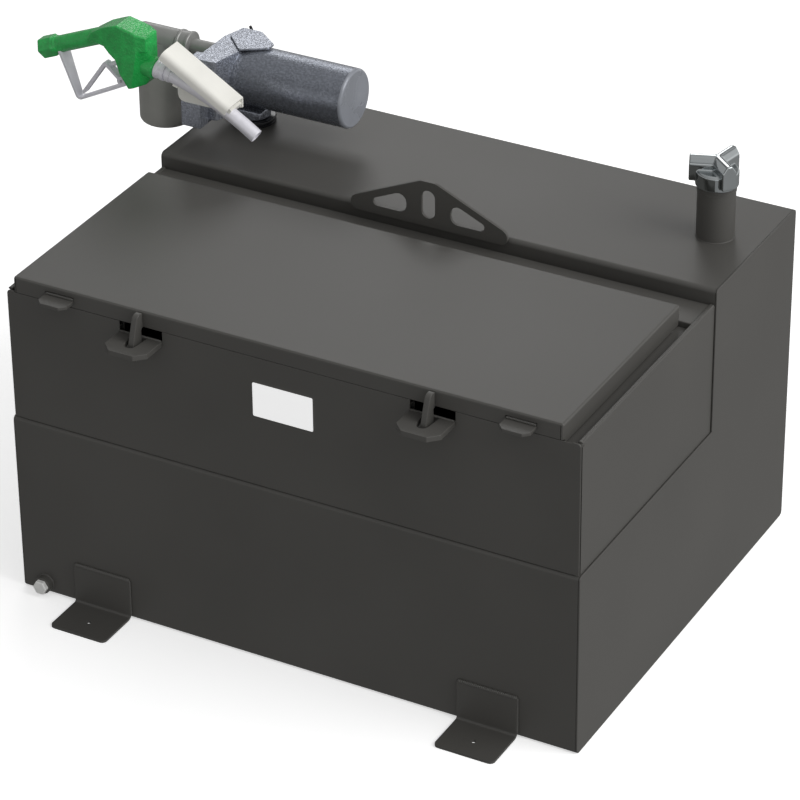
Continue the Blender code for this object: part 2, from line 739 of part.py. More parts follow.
def make_filler():
    at = empty("filler_axis", (FILLER_X, FILLER_Y, TANK_HEIGHT))
    pipe("filler_neck", (0, 0, -NECK_DIP), (0, 0, NECK_RISE), NECK_RADIUS, NECK_RADIUS - NECK_WALL,
         POWDER_COAT, at, 32)
    skirt_low = CAP_RISE - CAP_SKIRT
    ceiling = NECK_RISE + GASKET_THICK + 2 * SEAT
    bore = NECK_RADIUS + CAP_RUN
    crown = ceiling + CAP_TOP
    profile = [(0, crown), (CAP_RADIUS - CAP_EDGE, crown), (CAP_RADIUS, crown - CAP_EDGE),
               (CAP_RADIUS, skirt_low), (0, skirt_low)]
    cap = turned("filler_cap", profile, CHROME, parent=at, steps=40)
    lobe_low = skirt_low + 8 * MM
    half = LOBE_WIDTH / 2
    ridge = LOBE_RIDGE / 2
    section = [(-half, lobe_low), (half, lobe_low), (half, CAP_RISE - LOBE_CHAMFER), (ridge, CAP_RISE),
               (-ridge, CAP_RISE), (-half, CAP_RISE - LOBE_CHAMFER)]
    hollow = rod("cap_hollow", (0, 0, skirt_low - CAP_TOP), (0, 0, ceiling), bore, CHROME, at, 40)
    for index in range(LOBE_COUNT):
        angle = LOBE_TURN + index * 2 * math.pi / LOBE_COUNT
        middle = LOBE_REACH / 2
        place = (middle * math.cos(angle), middle * math.sin(angle), 0)
        lobe = plate("lobe_%d" % index, [section], LOBE_REACH, CHROME, at=place,
                     turn=(math.pi / 2, 0, angle + math.pi / 2), parent=at)
        round_edges(lobe, 1.5 * MM, 2)
        join(cap, lobe)
    cut(cap, hollow)
    pipe("cap_gasket", (0, 0, NECK_RISE + SEAT), (0, 0, NECK_RISE + SEAT + GASKET_THICK),
         NECK_RADIUS - SEAT, NECK_RADIUS - NECK_WALL - 3 * MM, RUBBER, at, 32)


# Toolbox

def box_plan(inward=0.0):
    """The toolbox's outline from above, moved inward, with its two front corners folded round."""
    plan = rectangle(-BOX_HALF, BOX_FRONT, BOX_HALF, BOX_BACK)
    radii = [BOX_CORNER - inward, BOX_CORNER - inward, 0, 0]
    return rounded(inset(plan, inward) if inward else plan, radii, 4)


def make_toolbox_shell():
    """An open tray folded from one sheet, notched in front above each padlock plate."""
    mesh = bpy.data.meshes.new("toolbox_shell")
    work = bmesh.new()
    verts = [work.verts.new((along, across, BOX_FLOOR)) for along, across in box_plan()]
    floor = work.faces.new(verts)
    grown = bmesh.ops.extrude_face_region(work, geom=[floor])
    top = [item for item in grown["geom"] if isinstance(item, bmesh.types.BMVert)]
    bmesh.ops.translate(work, verts=top, vec=(0, 0, BOX_TOP - BOX_FLOOR))
    lid_face = [item for item in grown["geom"] if isinstance(item, bmesh.types.BMFace)]
    bmesh.ops.delete(work, geom=lid_face, context="FACES_ONLY")
    bmesh.ops.recalc_face_normals(work, faces=work.faces)
    if floor.normal.z > 0:
        bmesh.ops.reverse_faces(work, faces=work.faces)
    work.to_mesh(mesh)
    work.free()
    shell = link("toolbox_shell", mesh, POWDER_COAT)
    wall = shell.modifiers.new("wall", "SOLIDIFY")
    wall.thickness = BOX_SHEET
    wall.offset = -1
    wall.use_even_offset = True
    notch_low = BOX_TOP - HASP_DROP
    for side in (-1, 1):
        notch = block("hasp_notch_%d" % side,
                      (side * HASP_CENTRE - HASP_WIDTH / 2, BOX_FRONT - BOX_SHEET, notch_low),
                      (side * HASP_CENTRE + HASP_WIDTH / 2, BOX_FRONT + 2 * BOX_SHEET, BOX_TOP + BOX_SHEET),
                      POWDER_COAT)
        cut(shell, notch)


def make_opening_frame():
    """The ledge round the toolbox's opening, with the upright collar that keeps water out."""
    wall_half = BOX_HALF - BOX_SHEET - SEAT
    ledge_front = BOX_FRONT + BOX_SHEET + SEAT
    collar_back = DECK_FRONT - SEAT
    plan = rectangle(-wall_half, ledge_front, wall_half, collar_back)
    outer = rounded(plan, [BOX_CORNER - BOX_SHEET, BOX_CORNER - BOX_SHEET, 0, 0], 4)
    collar = rectangle(-COLLAR_HALF, COLLAR_FRONT, COLLAR_HALF, collar_back)
    opening = inset(collar, FRAME_SHEET)
    frame = plate("opening_frame", [outer, opening], FRAME_SHEET, POWDER_COAT,
                  at=(0, 0, GUTTER_FLOOR - FRAME_SHEET / 2))
    low = GUTTER_FLOOR - COLLAR_DROP
    high = GUTTER_FLOOR + COLLAR_RISE
    wall = plate("opening_collar", [collar, opening], high - low, POWDER_COAT, at=(0, 0, (low + high) / 2))
    join(frame, wall)


def make_rims():
    """The folded rim that caps each side wall of the toolbox."""
    high = DECK_TOP + RIM_RISE
    inner = BOX_HALF - RIM_WIDTH
    wall_inner = BOX_HALF - BOX_SHEET - SEAT
    section = [(inner, GUTTER_FLOOR + SEAT), (wall_inner, GUTTER_FLOOR + SEAT),
               (wall_inner, BOX_TOP + SEAT), (BOX_HALF, BOX_TOP + SEAT), (BOX_HALF, high), (inner, high)]
    section = rounded(section, [0, 0, 0, 0, 2 * MM, 2.5 * MM], 3)
    front = BOX_FRONT + BOX_CORNER
    length = BOX_BACK - BOX_SHEET - SEAT - front
    for side, name in ((1, "rim_right"), (-1, "rim_left")):
        loop = section if side > 0 else [(-across, up) for across, up in section][::-1]
        plate(name, [loop], length, POWDER_COAT, at=(0, front + length / 2, 0), turn=ACROSS)


def make_rear_deck():
    """The folded strip between the lid and the riser, which carries the hinge."""
    back = BOX_BACK - BOX_SHEET - SEAT
    path = [(back, DECK_TOP - DECK_FOLD), (back, DECK_TOP), (DECK_FRONT, DECK_TOP),
            (DECK_FRONT, GUTTER_FLOOR - COLLAR_DROP)]
    section = rounded(strip(path, FRAME_SHEET), [0, 2.5 * MM, 2.5 * MM, 0, 0, 0.5 * MM, 0.5 * MM, 0], 2)
    half = BOX_HALF - RIM_WIDTH - SEAT
    plate("rear_deck", [section], 2 * half, POWDER_COAT, turn=ALONG)


def make_name_plate():
    centre = BOX_TOP - PLATE_DROP - PLATE_HEIGHT / 2
    corner = 2 * MM
    half = PLATE_WIDTH / 2
    loop = rounded(rectangle(-half, -PLATE_HEIGHT / 2, half, PLATE_HEIGHT / 2), corner, 2)
    plate("name_plate", [loop], PLATE_THICK, WHITE_PLATE,
          at=(-4 * MM, BOX_FRONT - SEAT - PLATE_THICK / 2, centre), turn=ACROSS)


# Lid, hinge and hasps

def make_lid():
    """A pan folded down on all four sides, longer at the ends, slotted above each lift tab."""
    depth = LID_BACK - BOX_FRONT
    mesh = bpy.data.meshes.new("lid_panel")
    work = bmesh.new()
    plan = rounded(rectangle(LID_LEFT, BOX_FRONT, LID_RIGHT, LID_BACK), LID_CORNER, 2)
    verts = [work.verts.new((along, across, LID_TOP - LID_SIDE_FLANGE)) for along, across in plan]
    under = work.faces.new(verts)
    grown = bmesh.ops.extrude_face_region(work, geom=[under])
    top = [item for item in grown["geom"] if isinstance(item, bmesh.types.BMVert)]
    bmesh.ops.translate(work, verts=top, vec=(0, 0, LID_SIDE_FLANGE))
    bmesh.ops.delete(work, geom=[under], context="FACES_ONLY")
    bmesh.ops.recalc_face_normals(work, faces=work.faces)
    top_faces = [face for face in work.faces if abs(face.normal.z) > 0.9]
    if top_faces[0].normal.z < 0:
        bmesh.ops.reverse_faces(work, faces=work.faces)
    rim = [edge for edge in work.edges if all(vert.co.z > LID_TOP - LID_SHEET for vert in edge.verts)]
    bmesh.ops.bevel(work, geom=rim, offset=LID_CORNER, segments=3, affect="EDGES", profile=0.5)
    work.to_mesh(mesh)
    work.free()
    lid = link("lid_panel", mesh, POWDER_COAT)
    sheet = lid.modifiers.new("sheet", "SOLIDIFY")
    sheet.thickness = LID_SHEET
    sheet.offset = -1
    sheet.use_even_offset = True
    reach = 2 * LID_SHEET
    front_trim = block("front_trim", (LID_LEFT - reach, BOX_FRONT - reach, LID_TOP - 2 * LID_SIDE_FLANGE),
                       (LID_RIGHT + reach, BOX_FRONT + reach, LID_TOP - LID_FLANGE), POWDER_COAT)
    back_trim = block("back_trim", (LID_LEFT - reach, LID_BACK - reach, LID_TOP - 2 * LID_SIDE_FLANGE),
                      (LID_RIGHT + reach, LID_BACK + reach, LID_BACK_BOTTOM), POWDER_COAT)
    cut(lid, front_trim)
    cut(lid, back_trim)
    for side in (-1, 1):
        centre = side * TAB_CENTRE
        slot_low = LID_TOP - TAB_DROP
        slot = block("tab_slot_%d" % side, (centre - TAB_LENGTH / 2, BOX_FRONT - reach, slot_low),
                     (centre + TAB_LENGTH / 2, BOX_FRONT + reach, slot_low + TAB_SLOT_HEIGHT), POWDER_COAT)
        cut(lid, slot)
    make_lid_ribs(depth)


def make_lid_ribs(depth):
    """Two hat-section stiffeners under the lid."""
    high = LID_TOP - LID_SHEET - SEAT
    half = RIB_WIDTH / 2
    flange = RIB_WIDTH / 4
    path = [(-half, high), (-half + flange, high), (-half + flange * 1.2, high - RIB_DEPTH),
            (half - flange * 1.2, high - RIB_DEPTH), (half - flange, high), (half, high)]
    section = strip(path[::-1], LID_SHEET / 2)
    low_y = COLLAR_FRONT + SEAL_WIDTH
    high_y = DECK_FRONT - SEAL_WIDTH - FRAME_SHEET
    length = high_y - low_y
    for side, hand in ((-1, "left"), (1, "right")):
        centre = (LID_LEFT + LID_RIGHT) / 2 + side * depth / 2
        plate("lid_rib_" + hand, [section], length, POWDER_COAT, at=(centre, low_y + length / 2, 0), turn=ACROSS)


def make_lid_seal():
    """The soft ring under the lid that lies on the collar's edge."""
    low = GUTTER_FLOOR + COLLAR_RISE + SEAT
    high = LID_TOP - LID_SHEET - SEAT
    middle = inset(rectangle(-COLLAR_HALF, COLLAR_FRONT, COLLAR_HALF, DECK_FRONT - SEAT), FRAME_SHEET / 2)
    outer = inset(middle, -SEAL_WIDTH / 2)
    back_limit = LID_BACK - LID_CORNER - SEAT
    outer = [(along, min(across, back_limit)) for along, across in outer]
    inner = inset(middle, SEAL_WIDTH / 2)
    plate("lid_seal", [rounded(outer, 3 * MM, 2), rounded(inner, 3 * MM, 2)], high - low, RUBBER,
          at=(0, 0, (low + high) / 2))


def make_hinge():
    """A long butt hinge: knuckles of the two leaves take turns along one pin."""
    left = LID_LEFT + HINGE_END_INSET
    right = LID_RIGHT - HINGE_END_INSET
    length = right - left
    pitch = length / HINGE_KNUCKLES
    axis = empty("lid_hinge_axis", (0, HINGE_Y, HINGE_Z))
    rod("hinge_pin", (left, 0, 0), (right, 0, 0), HINGE_PIN_RADIUS, BARE_STEEL, axis, 12)
    gap = HINGE_KNUCKLE_GAP
    relief_gap = 1.5 * gap
    clear = HINGE_REACH + gap
    leaf_face = SEAT - HINGE_REACH
    lid_leaf = block("hinge_leaf_lid", (left, leaf_face, 0), (right, leaf_face + HINGE_SHEET, HINGE_LEAF - 6 * MM),
                     POWDER_COAT, axis)
    floor = SEAT - HINGE_REACH
    deck_leaf = block("hinge_leaf_deck", (left, 0, floor), (right, HINGE_LEAF, floor + HINGE_SHEET),
                      POWDER_COAT, axis)
    for index in range(HINGE_KNUCKLES):
        start = left + pitch * index + gap / 2
        end = start + pitch - gap
        leaf, other = (deck_leaf, lid_leaf) if index % 2 == 0 else (lid_leaf, deck_leaf)
        knuckle = rod("knuckle_%d" % index, (start, 0, 0), (end, 0, 0), HINGE_RADIUS, POWDER_COAT, axis, 16)
        relief = block("relief_%d" % index, (start - relief_gap, -clear, -clear), (end + relief_gap, clear, clear),
                       POWDER_COAT, axis)
        cut(other, relief)
        join(leaf, knuckle)
    for leaf in (lid_leaf, deck_leaf):
        pin_room = rod(leaf.name + "_bore", (left - pitch, 0, 0), (right + pitch, 0, 0),
                       HINGE_PIN_RADIUS + HINGE_PIN_GAP, POWDER_COAT, axis, 12)
        cut(leaf, pin_room)


def make_lift_tabs():
    half = TAB_LENGTH / 2
    reach = -TAB_REACH
    plan = [(-half, 0), (-half, reach + TAB_CHAMFER), (-half + TAB_CHAMFER, reach),
            (half - TAB_CHAMFER, reach), (half, reach + TAB_CHAMFER), (half, 0)]
    high = LID_TOP - TAB_DROP
    for side, hand in ((-1, "left"), (1, "right")):
        plate("lift_tab_" + hand, [plan], TAB_THICK, POWDER_COAT,
              at=(side * TAB_CENTRE, BOX_FRONT - SEAT, high - TAB_THICK / 2))


def make_hasps():
    """Padlock plates on the toolbox's front, and the lid's fins that pass down through them."""
    half = HASP_WIDTH / 2
    slot_half = HASP_SLOT_BACK / 2
    reach = -HASP_REACH
    slot_end = arc((0, -HASP_SLOT_REACH), HASP_SLOT_RADIUS, 0, -180, 8)
    plan = [(-half, 0), (-half, reach + HASP_CHAMFER), (-half + HASP_CHAMFER, reach),
            (half - HASP_CHAMFER, reach), (half, reach + HASP_CHAMFER), (half, 0), (slot_half, 0)]
    plan += slot_end + [(-slot_half, 0)]
    plate_top = BOX_TOP - HASP_DROP
    lid_foot = LID_TOP - LID_FLANGE
    for side, hand in ((-1, "left"), (1, "right")):
        place = (side * HASP_CENTRE, BOX_FRONT - SEAT, plate_top - HASP_THICK / 2)
        plate("hasp_plate_" + hand, [plan], HASP_THICK, POWDER_COAT, at=place)
        hole_drop = lid_foot - plate_top + HASP_THICK + FIN_HOLE_RADIUS + 6 * MM
        foot = -hole_drop - FIN_FOOT_DROP
        outline = [(0, FIN_RISE), (0, 0), (-FIN_SET_BACK, 1 * MM - FIN_SET_BACK), (-FIN_SET_BACK, foot + FIN_SET_BACK),
                   (-2 * FIN_SET_BACK, foot), (6 * MM - FIN_REACH, foot), (-FIN_REACH, foot + 6 * MM),
                   (1 * MM - FIN_REACH, -21 * MM), (-FIN_TOP_REACH, FIN_RISE)]
        bore = circle((-18 * MM, -hole_drop), FIN_HOLE_RADIUS, 16)
        plate("hasp_fin_" + hand, [rounded(outline, FIN_ROUNDS), bore], FIN_THICK, POWDER_COAT,
              at=(side * HASP_CENTRE, BOX_FRONT - SEAT, lid_foot), turn=ALONG)


# Pump

def make_pump():
    at = empty("pump_axis", (PUMP_X, PUMP_Y, TANK_HEIGHT))
    make_pump_housing(at)
    make_motor(at)
    make_wiring_box(at)
    make_outlet(at)
    make_filter(at)
    make_holster(at)
    make_nozzle(at)


def make_pump_housing(at):
    """The cast housing on its neck, with the sloping nose that carries the holster."""
    pipe("tank_bung", (0, 0, SEAT), (0, 0, BUNG_HEIGHT - SEAT), BUNG_RADIUS, TUBE_BORE, BLACK_STEEL, at, 32)
    tube_low = TUBE_FLOOR_GAP + TANK_SHEET - TANK_HEIGHT
    pipe("suction_tube", (0, 0, tube_low), (0, 0, BUNG_HEIGHT - SEAT), TUBE_RADIUS, TUBE_RADIUS - TUBE_WALL,
         PIPE_GREY, at, 20)
    plan = [(PUMP_LEFT, PUMP_FRONT), (PUMP_LEFT + 40 * MM, PUMP_FRONT), (PUMP_RIGHT, PUMP_FRONT + 60 * MM),
            (PUMP_RIGHT, PUMP_BACK), (PUMP_LEFT + 11 * MM, PUMP_BACK), (PUMP_LEFT, PUMP_BACK - 37 * MM)]
    housing = plate("pump_housing", [rounded(plan, 6 * MM, 2)], PUMP_TOP - PUMP_FLOOR, HAMMERED,
                    at=(0, 0, (PUMP_TOP + PUMP_FLOOR) / 2), parent=at)
    round_edges(housing, 2 * MM, 2, 60)
    shoulder = PUMP_FRONT + 1 * MM
    nose = [(PUMP_FOOT_FRONT, PUMP_FOOT_FLOOR), (PUMP_FRONT + 32 * MM, PUMP_FOOT_FLOOR),
            (PUMP_FRONT + 32 * MM, PUMP_TOP - 3 * MM), (shoulder, PUMP_TOP - 3 * MM),
            (PUMP_FOOT_FRONT, PUMP_FOOT_TOP)]
    nose_width = PUMP_FOOT_RIGHT - PUMP_FOOT_LEFT
    nose_piece = plate("pump_nose", [nose], nose_width, HAMMERED,
                       at=((PUMP_FOOT_RIGHT + PUMP_FOOT_LEFT) / 2, 0, 0), turn=ALONG, parent=at)
    round_edges(nose_piece, 1.5 * MM, 2, 60)
    join(housing, nose_piece)
    base_top = MOTOR_RISE - MOTOR_RADIUS - 1 * MM
    neck = rod("pump_neck", (0, 0, BUNG_HEIGHT), (0, 0, base_top - 1 * MM), PUMP_NECK_RADIUS, HAMMERED, at, 32,
               1.5 * MM)
    join(housing, neck)
    base_half = PUMP_NECK_RADIUS + 4 * MM
    base = block("pump_base", (PUMP_LEFT + 8 * MM, MOTOR_BACK - base_half, PUMP_FLOOR - 8 * MM),
                 (base_half, MOTOR_BACK + base_half, base_top), HAMMERED, at, 3 * MM)
    join(housing, base)
    boss = rod("outlet_boss", (PUMP_LEFT + 20 * MM, MOTOR_BACK, OUTLET_RISE),
               (PUMP_LEFT - 6 * MM, MOTOR_BACK, OUTLET_RISE), 18.5 * MM, HAMMERED, at, 24, 1 * MM)
    join(housing, boss)
    seat = rod("motor_seat", (PUMP_RIGHT - 30 * MM, MOTOR_BACK, MOTOR_RISE),
               (PUMP_RIGHT + 12 * MM, MOTOR_BACK, MOTOR_RISE), MOTOR_RADIUS - 1.5 * MM, HAMMERED, at, 40, 1 * MM)
    join(housing, seat)
    cover_x = PUMP_LEFT - SEAT
    cover_y = MOTOR_BACK - 17 * MM
    cover_z = OUTLET_RISE - COVER_DROP
    cover = rod("rotor_cover", (cover_x, cover_y, cover_z), (cover_x - COVER_THICK, cover_y, cover_z), COVER_RADIUS,
                HAMMERED, at, 32, 1.5 * MM)
    for index in range(4):
        angle = math.radians(45 + 90 * index)
        screw_y = cover_y + (COVER_RADIUS - 6 * MM) * math.cos(angle)
        screw_z = cover_z + (COVER_RADIUS - 6 * MM) * math.sin(angle)
        start = cover_x - COVER_THICK
        screw = rod("cover_screw_%d" % (index + 1), (start + SCREW_HEIGHT, screw_y, screw_z),
                    (start - SCREW_HEIGHT, screw_y, screw_z), SCREW_RADIUS, HAMMERED, at, 6)
        join(cover, screw)


def make_motor(at):
    """The motor's drum with its end bell, lying along the tank."""
    start = PUMP_RIGHT + 12 * MM + SEAT
    split = MOTOR_END - MOTOR_CAP_LENGTH
    radius = MOTOR_RADIUS
    turn = (0, math.pi / 2, 0)
    drum = [(0, split - SEAT - start), (radius, split - SEAT - start), (radius, 2 * MM), (radius - 2 * MM, 0), (0, 0)]
    shade(turned("motor_housing", drum, HAMMERED, (start, MOTOR_BACK, MOTOR_RISE), turn, at, 48))
    length = MOTOR_END - split
    rim = [(radius - MOTOR_RIM * (1 - math.sin(math.radians(angle))),
            length - MOTOR_RIM * (1 - math.cos(math.radians(angle)))) for angle in (0, 30, 60, 90)]
    bell = [(0, length)] + rim + [(radius, 0), (0, 0)]
    shade(turned("motor_end_bell", bell, HAMMERED, (split, MOTOR_BACK, MOTOR_RISE), turn, at, 48))


def make_wiring_box(at):
    """The wiring box's cover on top of the housing, with the switch on its hidden rear side."""
    low = PUMP_TOP + SEAT
    plan = [(-52 * MM, 14 * MM), (-10 * MM, -29 * MM), (34 * MM, -2 * MM), (34 * MM, 16 * MM),
            (-9 * MM, 49 * MM), (-47 * MM, 49 * MM)]
    plate("wiring_cover", [rounded(plan, 5 * MM, 2)], 4 * MM, HAMMERED, at=(0, 0, low + 2 * MM), parent=at)
    switch_x = -30 * MM
    switch_y = PUMP_BACK + SEAT
    switch_z = PUMP_TOP - WIRING_THICK
    rod("switch_boss", (switch_x, switch_y, switch_z), (switch_x, switch_y + 6 * MM, switch_z), 9 * MM,
        BLACK_STEEL, at, 20, 1 * MM)
    hub_start = switch_y + 6 * MM + SEAT
    lever = rod("switch_lever", (switch_x, hub_start, switch_z), (switch_x, hub_start + 6 * MM, switch_z),
                6 * MM, RUBBER, at, 20, 0.8 * MM)
    tip = Vector((-math.sin(math.radians(25)), 0, math.cos(math.radians(25)))) * SWITCH_LENGTH
    hub = Vector((switch_x, hub_start + 3 * MM, switch_z))
    handle = rod("switch_handle", hub, hub + tip, SWITCH_RADIUS - 0.4 * MM, RUBBER, at, 12, 0.8 * MM)
    join(lever, handle)


def make_outlet(at):
    left = PUMP_LEFT - 6 * MM - SEAT
    pipe("outlet_nipple", (left, MOTOR_BACK, OUTLET_RISE), (NIPPLE_END, MOTOR_BACK, OUTLET_RISE), TUBE_RADIUS,
         TUBE_RADIUS - TUBE_WALL, PIPE_GREY, at)
    length = COUPLING_NEAR - COUPLING_FAR
    outer = COUPLING_RADIUS
    profile = [(TUBE_BORE, length), (outer - 4 * MM, length), (outer - 1 * MM, length - 2 * MM),
               (outer, length - 6 * MM), (outer, 0), (TUBE_BORE, 0)]
    turned("outlet_coupling", profile, PIPE_GREY, (COUPLING_FAR, MOTOR_BACK, OUTLET_RISE), (0, math.pi / 2, 0), at,
           32, ring=True)


def make_filter(at):
    """The spin-on filter: a cast head across the pipe and the canister below it."""
    start = COUPLING_FAR - SEAT
    head = rod("filter_head", (start, MOTOR_BACK, OUTLET_RISE), (FILTER_HEAD_END, MOTOR_BACK, OUTLET_RISE),
               FILTER_HEAD_RADIUS, PIPE_GREY, at, 32, 2 * MM)
    seat = FILTER_TOP + SEAT
    flange = [(0, OUTLET_RISE - seat), (26 * MM, OUTLET_RISE - seat), (30 * MM, 14 * MM), (44 * MM, 8 * MM),
              (44 * MM, 0), (0, 0)]
    saddle = turned("filter_saddle", flange, PIPE_GREY, (FILTER_CENTRE, MOTOR_BACK, seat), parent=at, steps=32)
    join(head, saddle)
    port = rod("filter_port", (FILTER_HEAD_END - 5 * MM, MOTOR_BACK, OUTLET_RISE),
               (FILTER_HEAD_END + 20 * MM, MOTOR_BACK, OUTLET_RISE), TUBE_RADIUS, PIPE_GREY, at, 20)
    cut(head, port)
    height = FILTER_TOP - FILTER_BOTTOM
    radius = FILTER_RADIUS
    profile = [(0, height), (radius - 4 * MM, height), (radius, height - 2 * MM), (radius, height - 9 * MM),
               (radius - 2 * MM, height - 11 * MM), (radius - 2 * MM, 12 * MM)]
    profile += [(radius - 2 * MM - 12 * MM * (1 - math.cos(math.radians(angle))),
                 12 * MM * (1 - math.sin(math.radians(angle)))) for angle in (30, 60, 90)]
    profile.append((0, 0))
    shade(turned("filter_canister", profile, PIPE_GREY, (FILTER_CENTRE, MOTOR_BACK, FILTER_BOTTOM), parent=at,
                 steps=40))


# Holster and nozzle

def hood_rise(along):
    """The height of the hood's top face at a distance along the pump."""
    return HOOD_LEFT_RISE - (along - HOOD_LEFT) * math.tan(HOOD_SLOPE)


def make_holster(at):
    """The back plate on the pump's nose and the sloping hood that the spout hangs in."""
    middle_y = HOLSTER_BACK - HOLSTER_SHEET / 2
    right_low = hood_rise(HOOD_RIGHT) - HOOD_LIP
    outline = [(HOOD_LEFT - 1 * MM, PLATE_FLOOR), (-10 * MM, PLATE_FLOOR), (HOOD_RIGHT, right_low),
               (HOOD_RIGHT, hood_rise(HOOD_RIGHT) - 1 * MM), (HOOD_LEFT - 1 * MM, HOOD_LEFT_RISE - 1 * MM)]
    back = plate("nozzle_holster", [rounded(outline, [12 * MM, 4 * MM, 0, 0, 0])], HOLSTER_SHEET, CREAM,
                 at=(0, middle_y, 0), turn=ACROSS, parent=at)
    length = (HOOD_RIGHT - HOOD_LEFT) / math.cos(HOOD_SLOPE)
    centre_x = (HOOD_LEFT + HOOD_RIGHT) / 2
    path = [(0, -HOLSTER_SHEET), (0, 0), (-HOOD_DEPTH - HOLSTER_SHEET, 0), (-HOOD_DEPTH - HOLSTER_SHEET, -HOOD_LIP)]
    section = strip(path, HOLSTER_SHEET)
    section = rounded(section, [0, 0, HOOD_ROUND, 0, 0, HOOD_ROUND - HOLSTER_SHEET, 0, 0], 4)
    hood = plate("hood", [section], length, CREAM, at=(centre_x, HOLSTER_BACK, hood_rise(centre_x)), parent=at)
    hood.rotation_euler = (Matrix.Rotation(HOOD_SLOPE, 3, "Y") @ stand_along()).to_euler()
    join(back, hood)
    make_spout_rest(at, back)


def stand_along():
    return Matrix.Rotation(math.pi / 2, 3, "Z") @ Matrix.Rotation(math.pi / 2, 3, "X")


def spout_point(share):
    """A point of the spout's bent centre line, from where it leaves the body to its tip."""
    start = Vector((0, 0))
    knee = Vector((SPOUT_KNEE_REACH, -SPOUT_KNEE_DROP))
    tip = Vector((SPOUT_REACH, -SPOUT_DROP))
    return start * (1 - share) ** 2 + knee * 2 * share * (1 - share) + tip * share ** 2


def make_spout_rest(at, holster):
    """A saddle under the spout and a pad over it, which hold the nozzle in the hood."""
    width = 10 * MM
    for name, share, over in (("spout_saddle", 0.23, False), ("spout_pad", 0.74, True)):
        here = spout_point(share)
        ahead = spout_point(share + 0.01) - spout_point(share - 0.01)
        tilt = math.atan2(-ahead.y, ahead.x)
        radius = SPOUT_RADIUS + SEAT
        wall = HOLSTER_FRONT - NOZZLE_Y + 1 * MM
        if over:
            reach = 14 * MM
            loop = [(wall, 1 * MM), (wall, reach), (-10 * MM, reach)] + arc((0, 0), radius, 150, 20, 6)
        else:
            loop = [(wall, 0)] + arc((0, 0), radius, 0, -110, 6) + [(-5 * MM, -radius - 3 * MM), (wall, -radius - 3 * MM)]
        piece = plate(name, [loop], width, CREAM, parent=at,
                      at=(NOZZLE_FROM_PUMP + here.x, NOZZLE_Y, NOZZLE_RISE + here.y))
        piece.rotation_euler = (Matrix.Rotation(tilt, 3, "Y") @ stand_along()).to_euler()
        join(holster, piece)


def make_nozzle(pump_at):
    at = empty("nozzle_origin", (NOZZLE_FROM_PUMP, NOZZLE_Y, NOZZLE_RISE), pump_at)
    make_nozzle_body(at)
    make_spout(at)
    make_trigger(at)


def make_nozzle_body(at):
    """The cast body with its handle, its spout boss and the hexagon of its hose inlet."""
    outline = [(-BODY_FROM_SPOUT - BODY_LENGTH * back, BODY_HEIGHT * up - BODY_FOOT) for back, up in BODY_OUTLINE]
    body = casting("nozzle_body", outline[::-1], NOZZLE_THICK, NOZZLE_EDGE, GREEN, at)
    for side in (-1, 1):
        shave(body, -BODY_FLANK_FAR, side, side * BODY_FLANK_FAR_TURN, at)
        shave(body, -BODY_FLANK_NEAR, side, -side * BODY_FLANK_NEAR_TURN, at)
    direction = Vector((math.cos(HANDLE_TILT), 0, math.sin(HANDLE_TILT)))
    handle = rod("nozzle_handle", HANDLE_START, HANDLE_START + direction * HANDLE_LENGTH, HANDLE_RADIUS, GREEN,
                 at, 24)
    join(body, handle)
    step = rod("handle_step", HANDLE_START - direction * 3.3 * MM, HANDLE_START + direction * 5 * MM,
               HANDLE_RADIUS + HANDLE_STEP, GREEN, at, 24, 1 * MM)
    join(body, step)
    hex_radius = INLET_HEX / math.sqrt(3)
    inlet = rod("inlet_hex", HANDLE_START - direction * INLET_LENGTH, HANDLE_START + direction * 0.4 * MM,
                hex_radius, GREEN, at, 6, 1.5 * MM)
    join(body, inlet)
    boss_end = spout_start() - spout_direction() * SEAT
    boss_start = boss_end - spout_direction() * 36 * MM
    boss = rod("spout_boss", boss_start, boss_end, COLLAR_RADIUS + 1 * MM, GREEN, at, 24, 1.5 * MM)
    join(body, boss)
    bore = rod("inlet_bore", HANDLE_START - direction * (INLET_LENGTH + 4 * MM), HANDLE_START - direction * 6 * MM,
               INLET_BORE_RADIUS, GREEN, at, 20)
    cut(body, bore)
    stem_bore = rod("stem_bore", stem_point(-30 * MM), stem_point(STEM_BORE_DEPTH), STEM_RADIUS + SEAT, GREEN, at, 16)
    cut(body, stem_bore)


def shave(body, along, side, turn, at):
    """Cuts one flank of the body back to a plane that leans in toward an end of the body."""
    reach = 150 * MM
    low = (-reach, 0 if side > 0 else -reach / 4, -reach)
    high = (reach, reach / 4 if side > 0 else 0, reach)
    wedge = block("flank_%d_%d" % (round(along / MM), side), low, high, GREEN, at)
    corner = Matrix.Translation(Vector((along, side * NOZZLE_THICK / 2, 0)))
    middle = Matrix.Translation((Vector(low) + Vector(high)) / 2)
    wedge.matrix_local = corner @ Matrix.Rotation(turn, 4, "Z") @ middle
    cut(body, wedge)


def spout_start():
    point = spout_point(0)
    return Vector((point.x, 0, point.y))


def spout_direction():
    ahead = spout_point(0.01) - spout_point(0)
    return Vector((ahead.x, 0, ahead.y)).normalized()


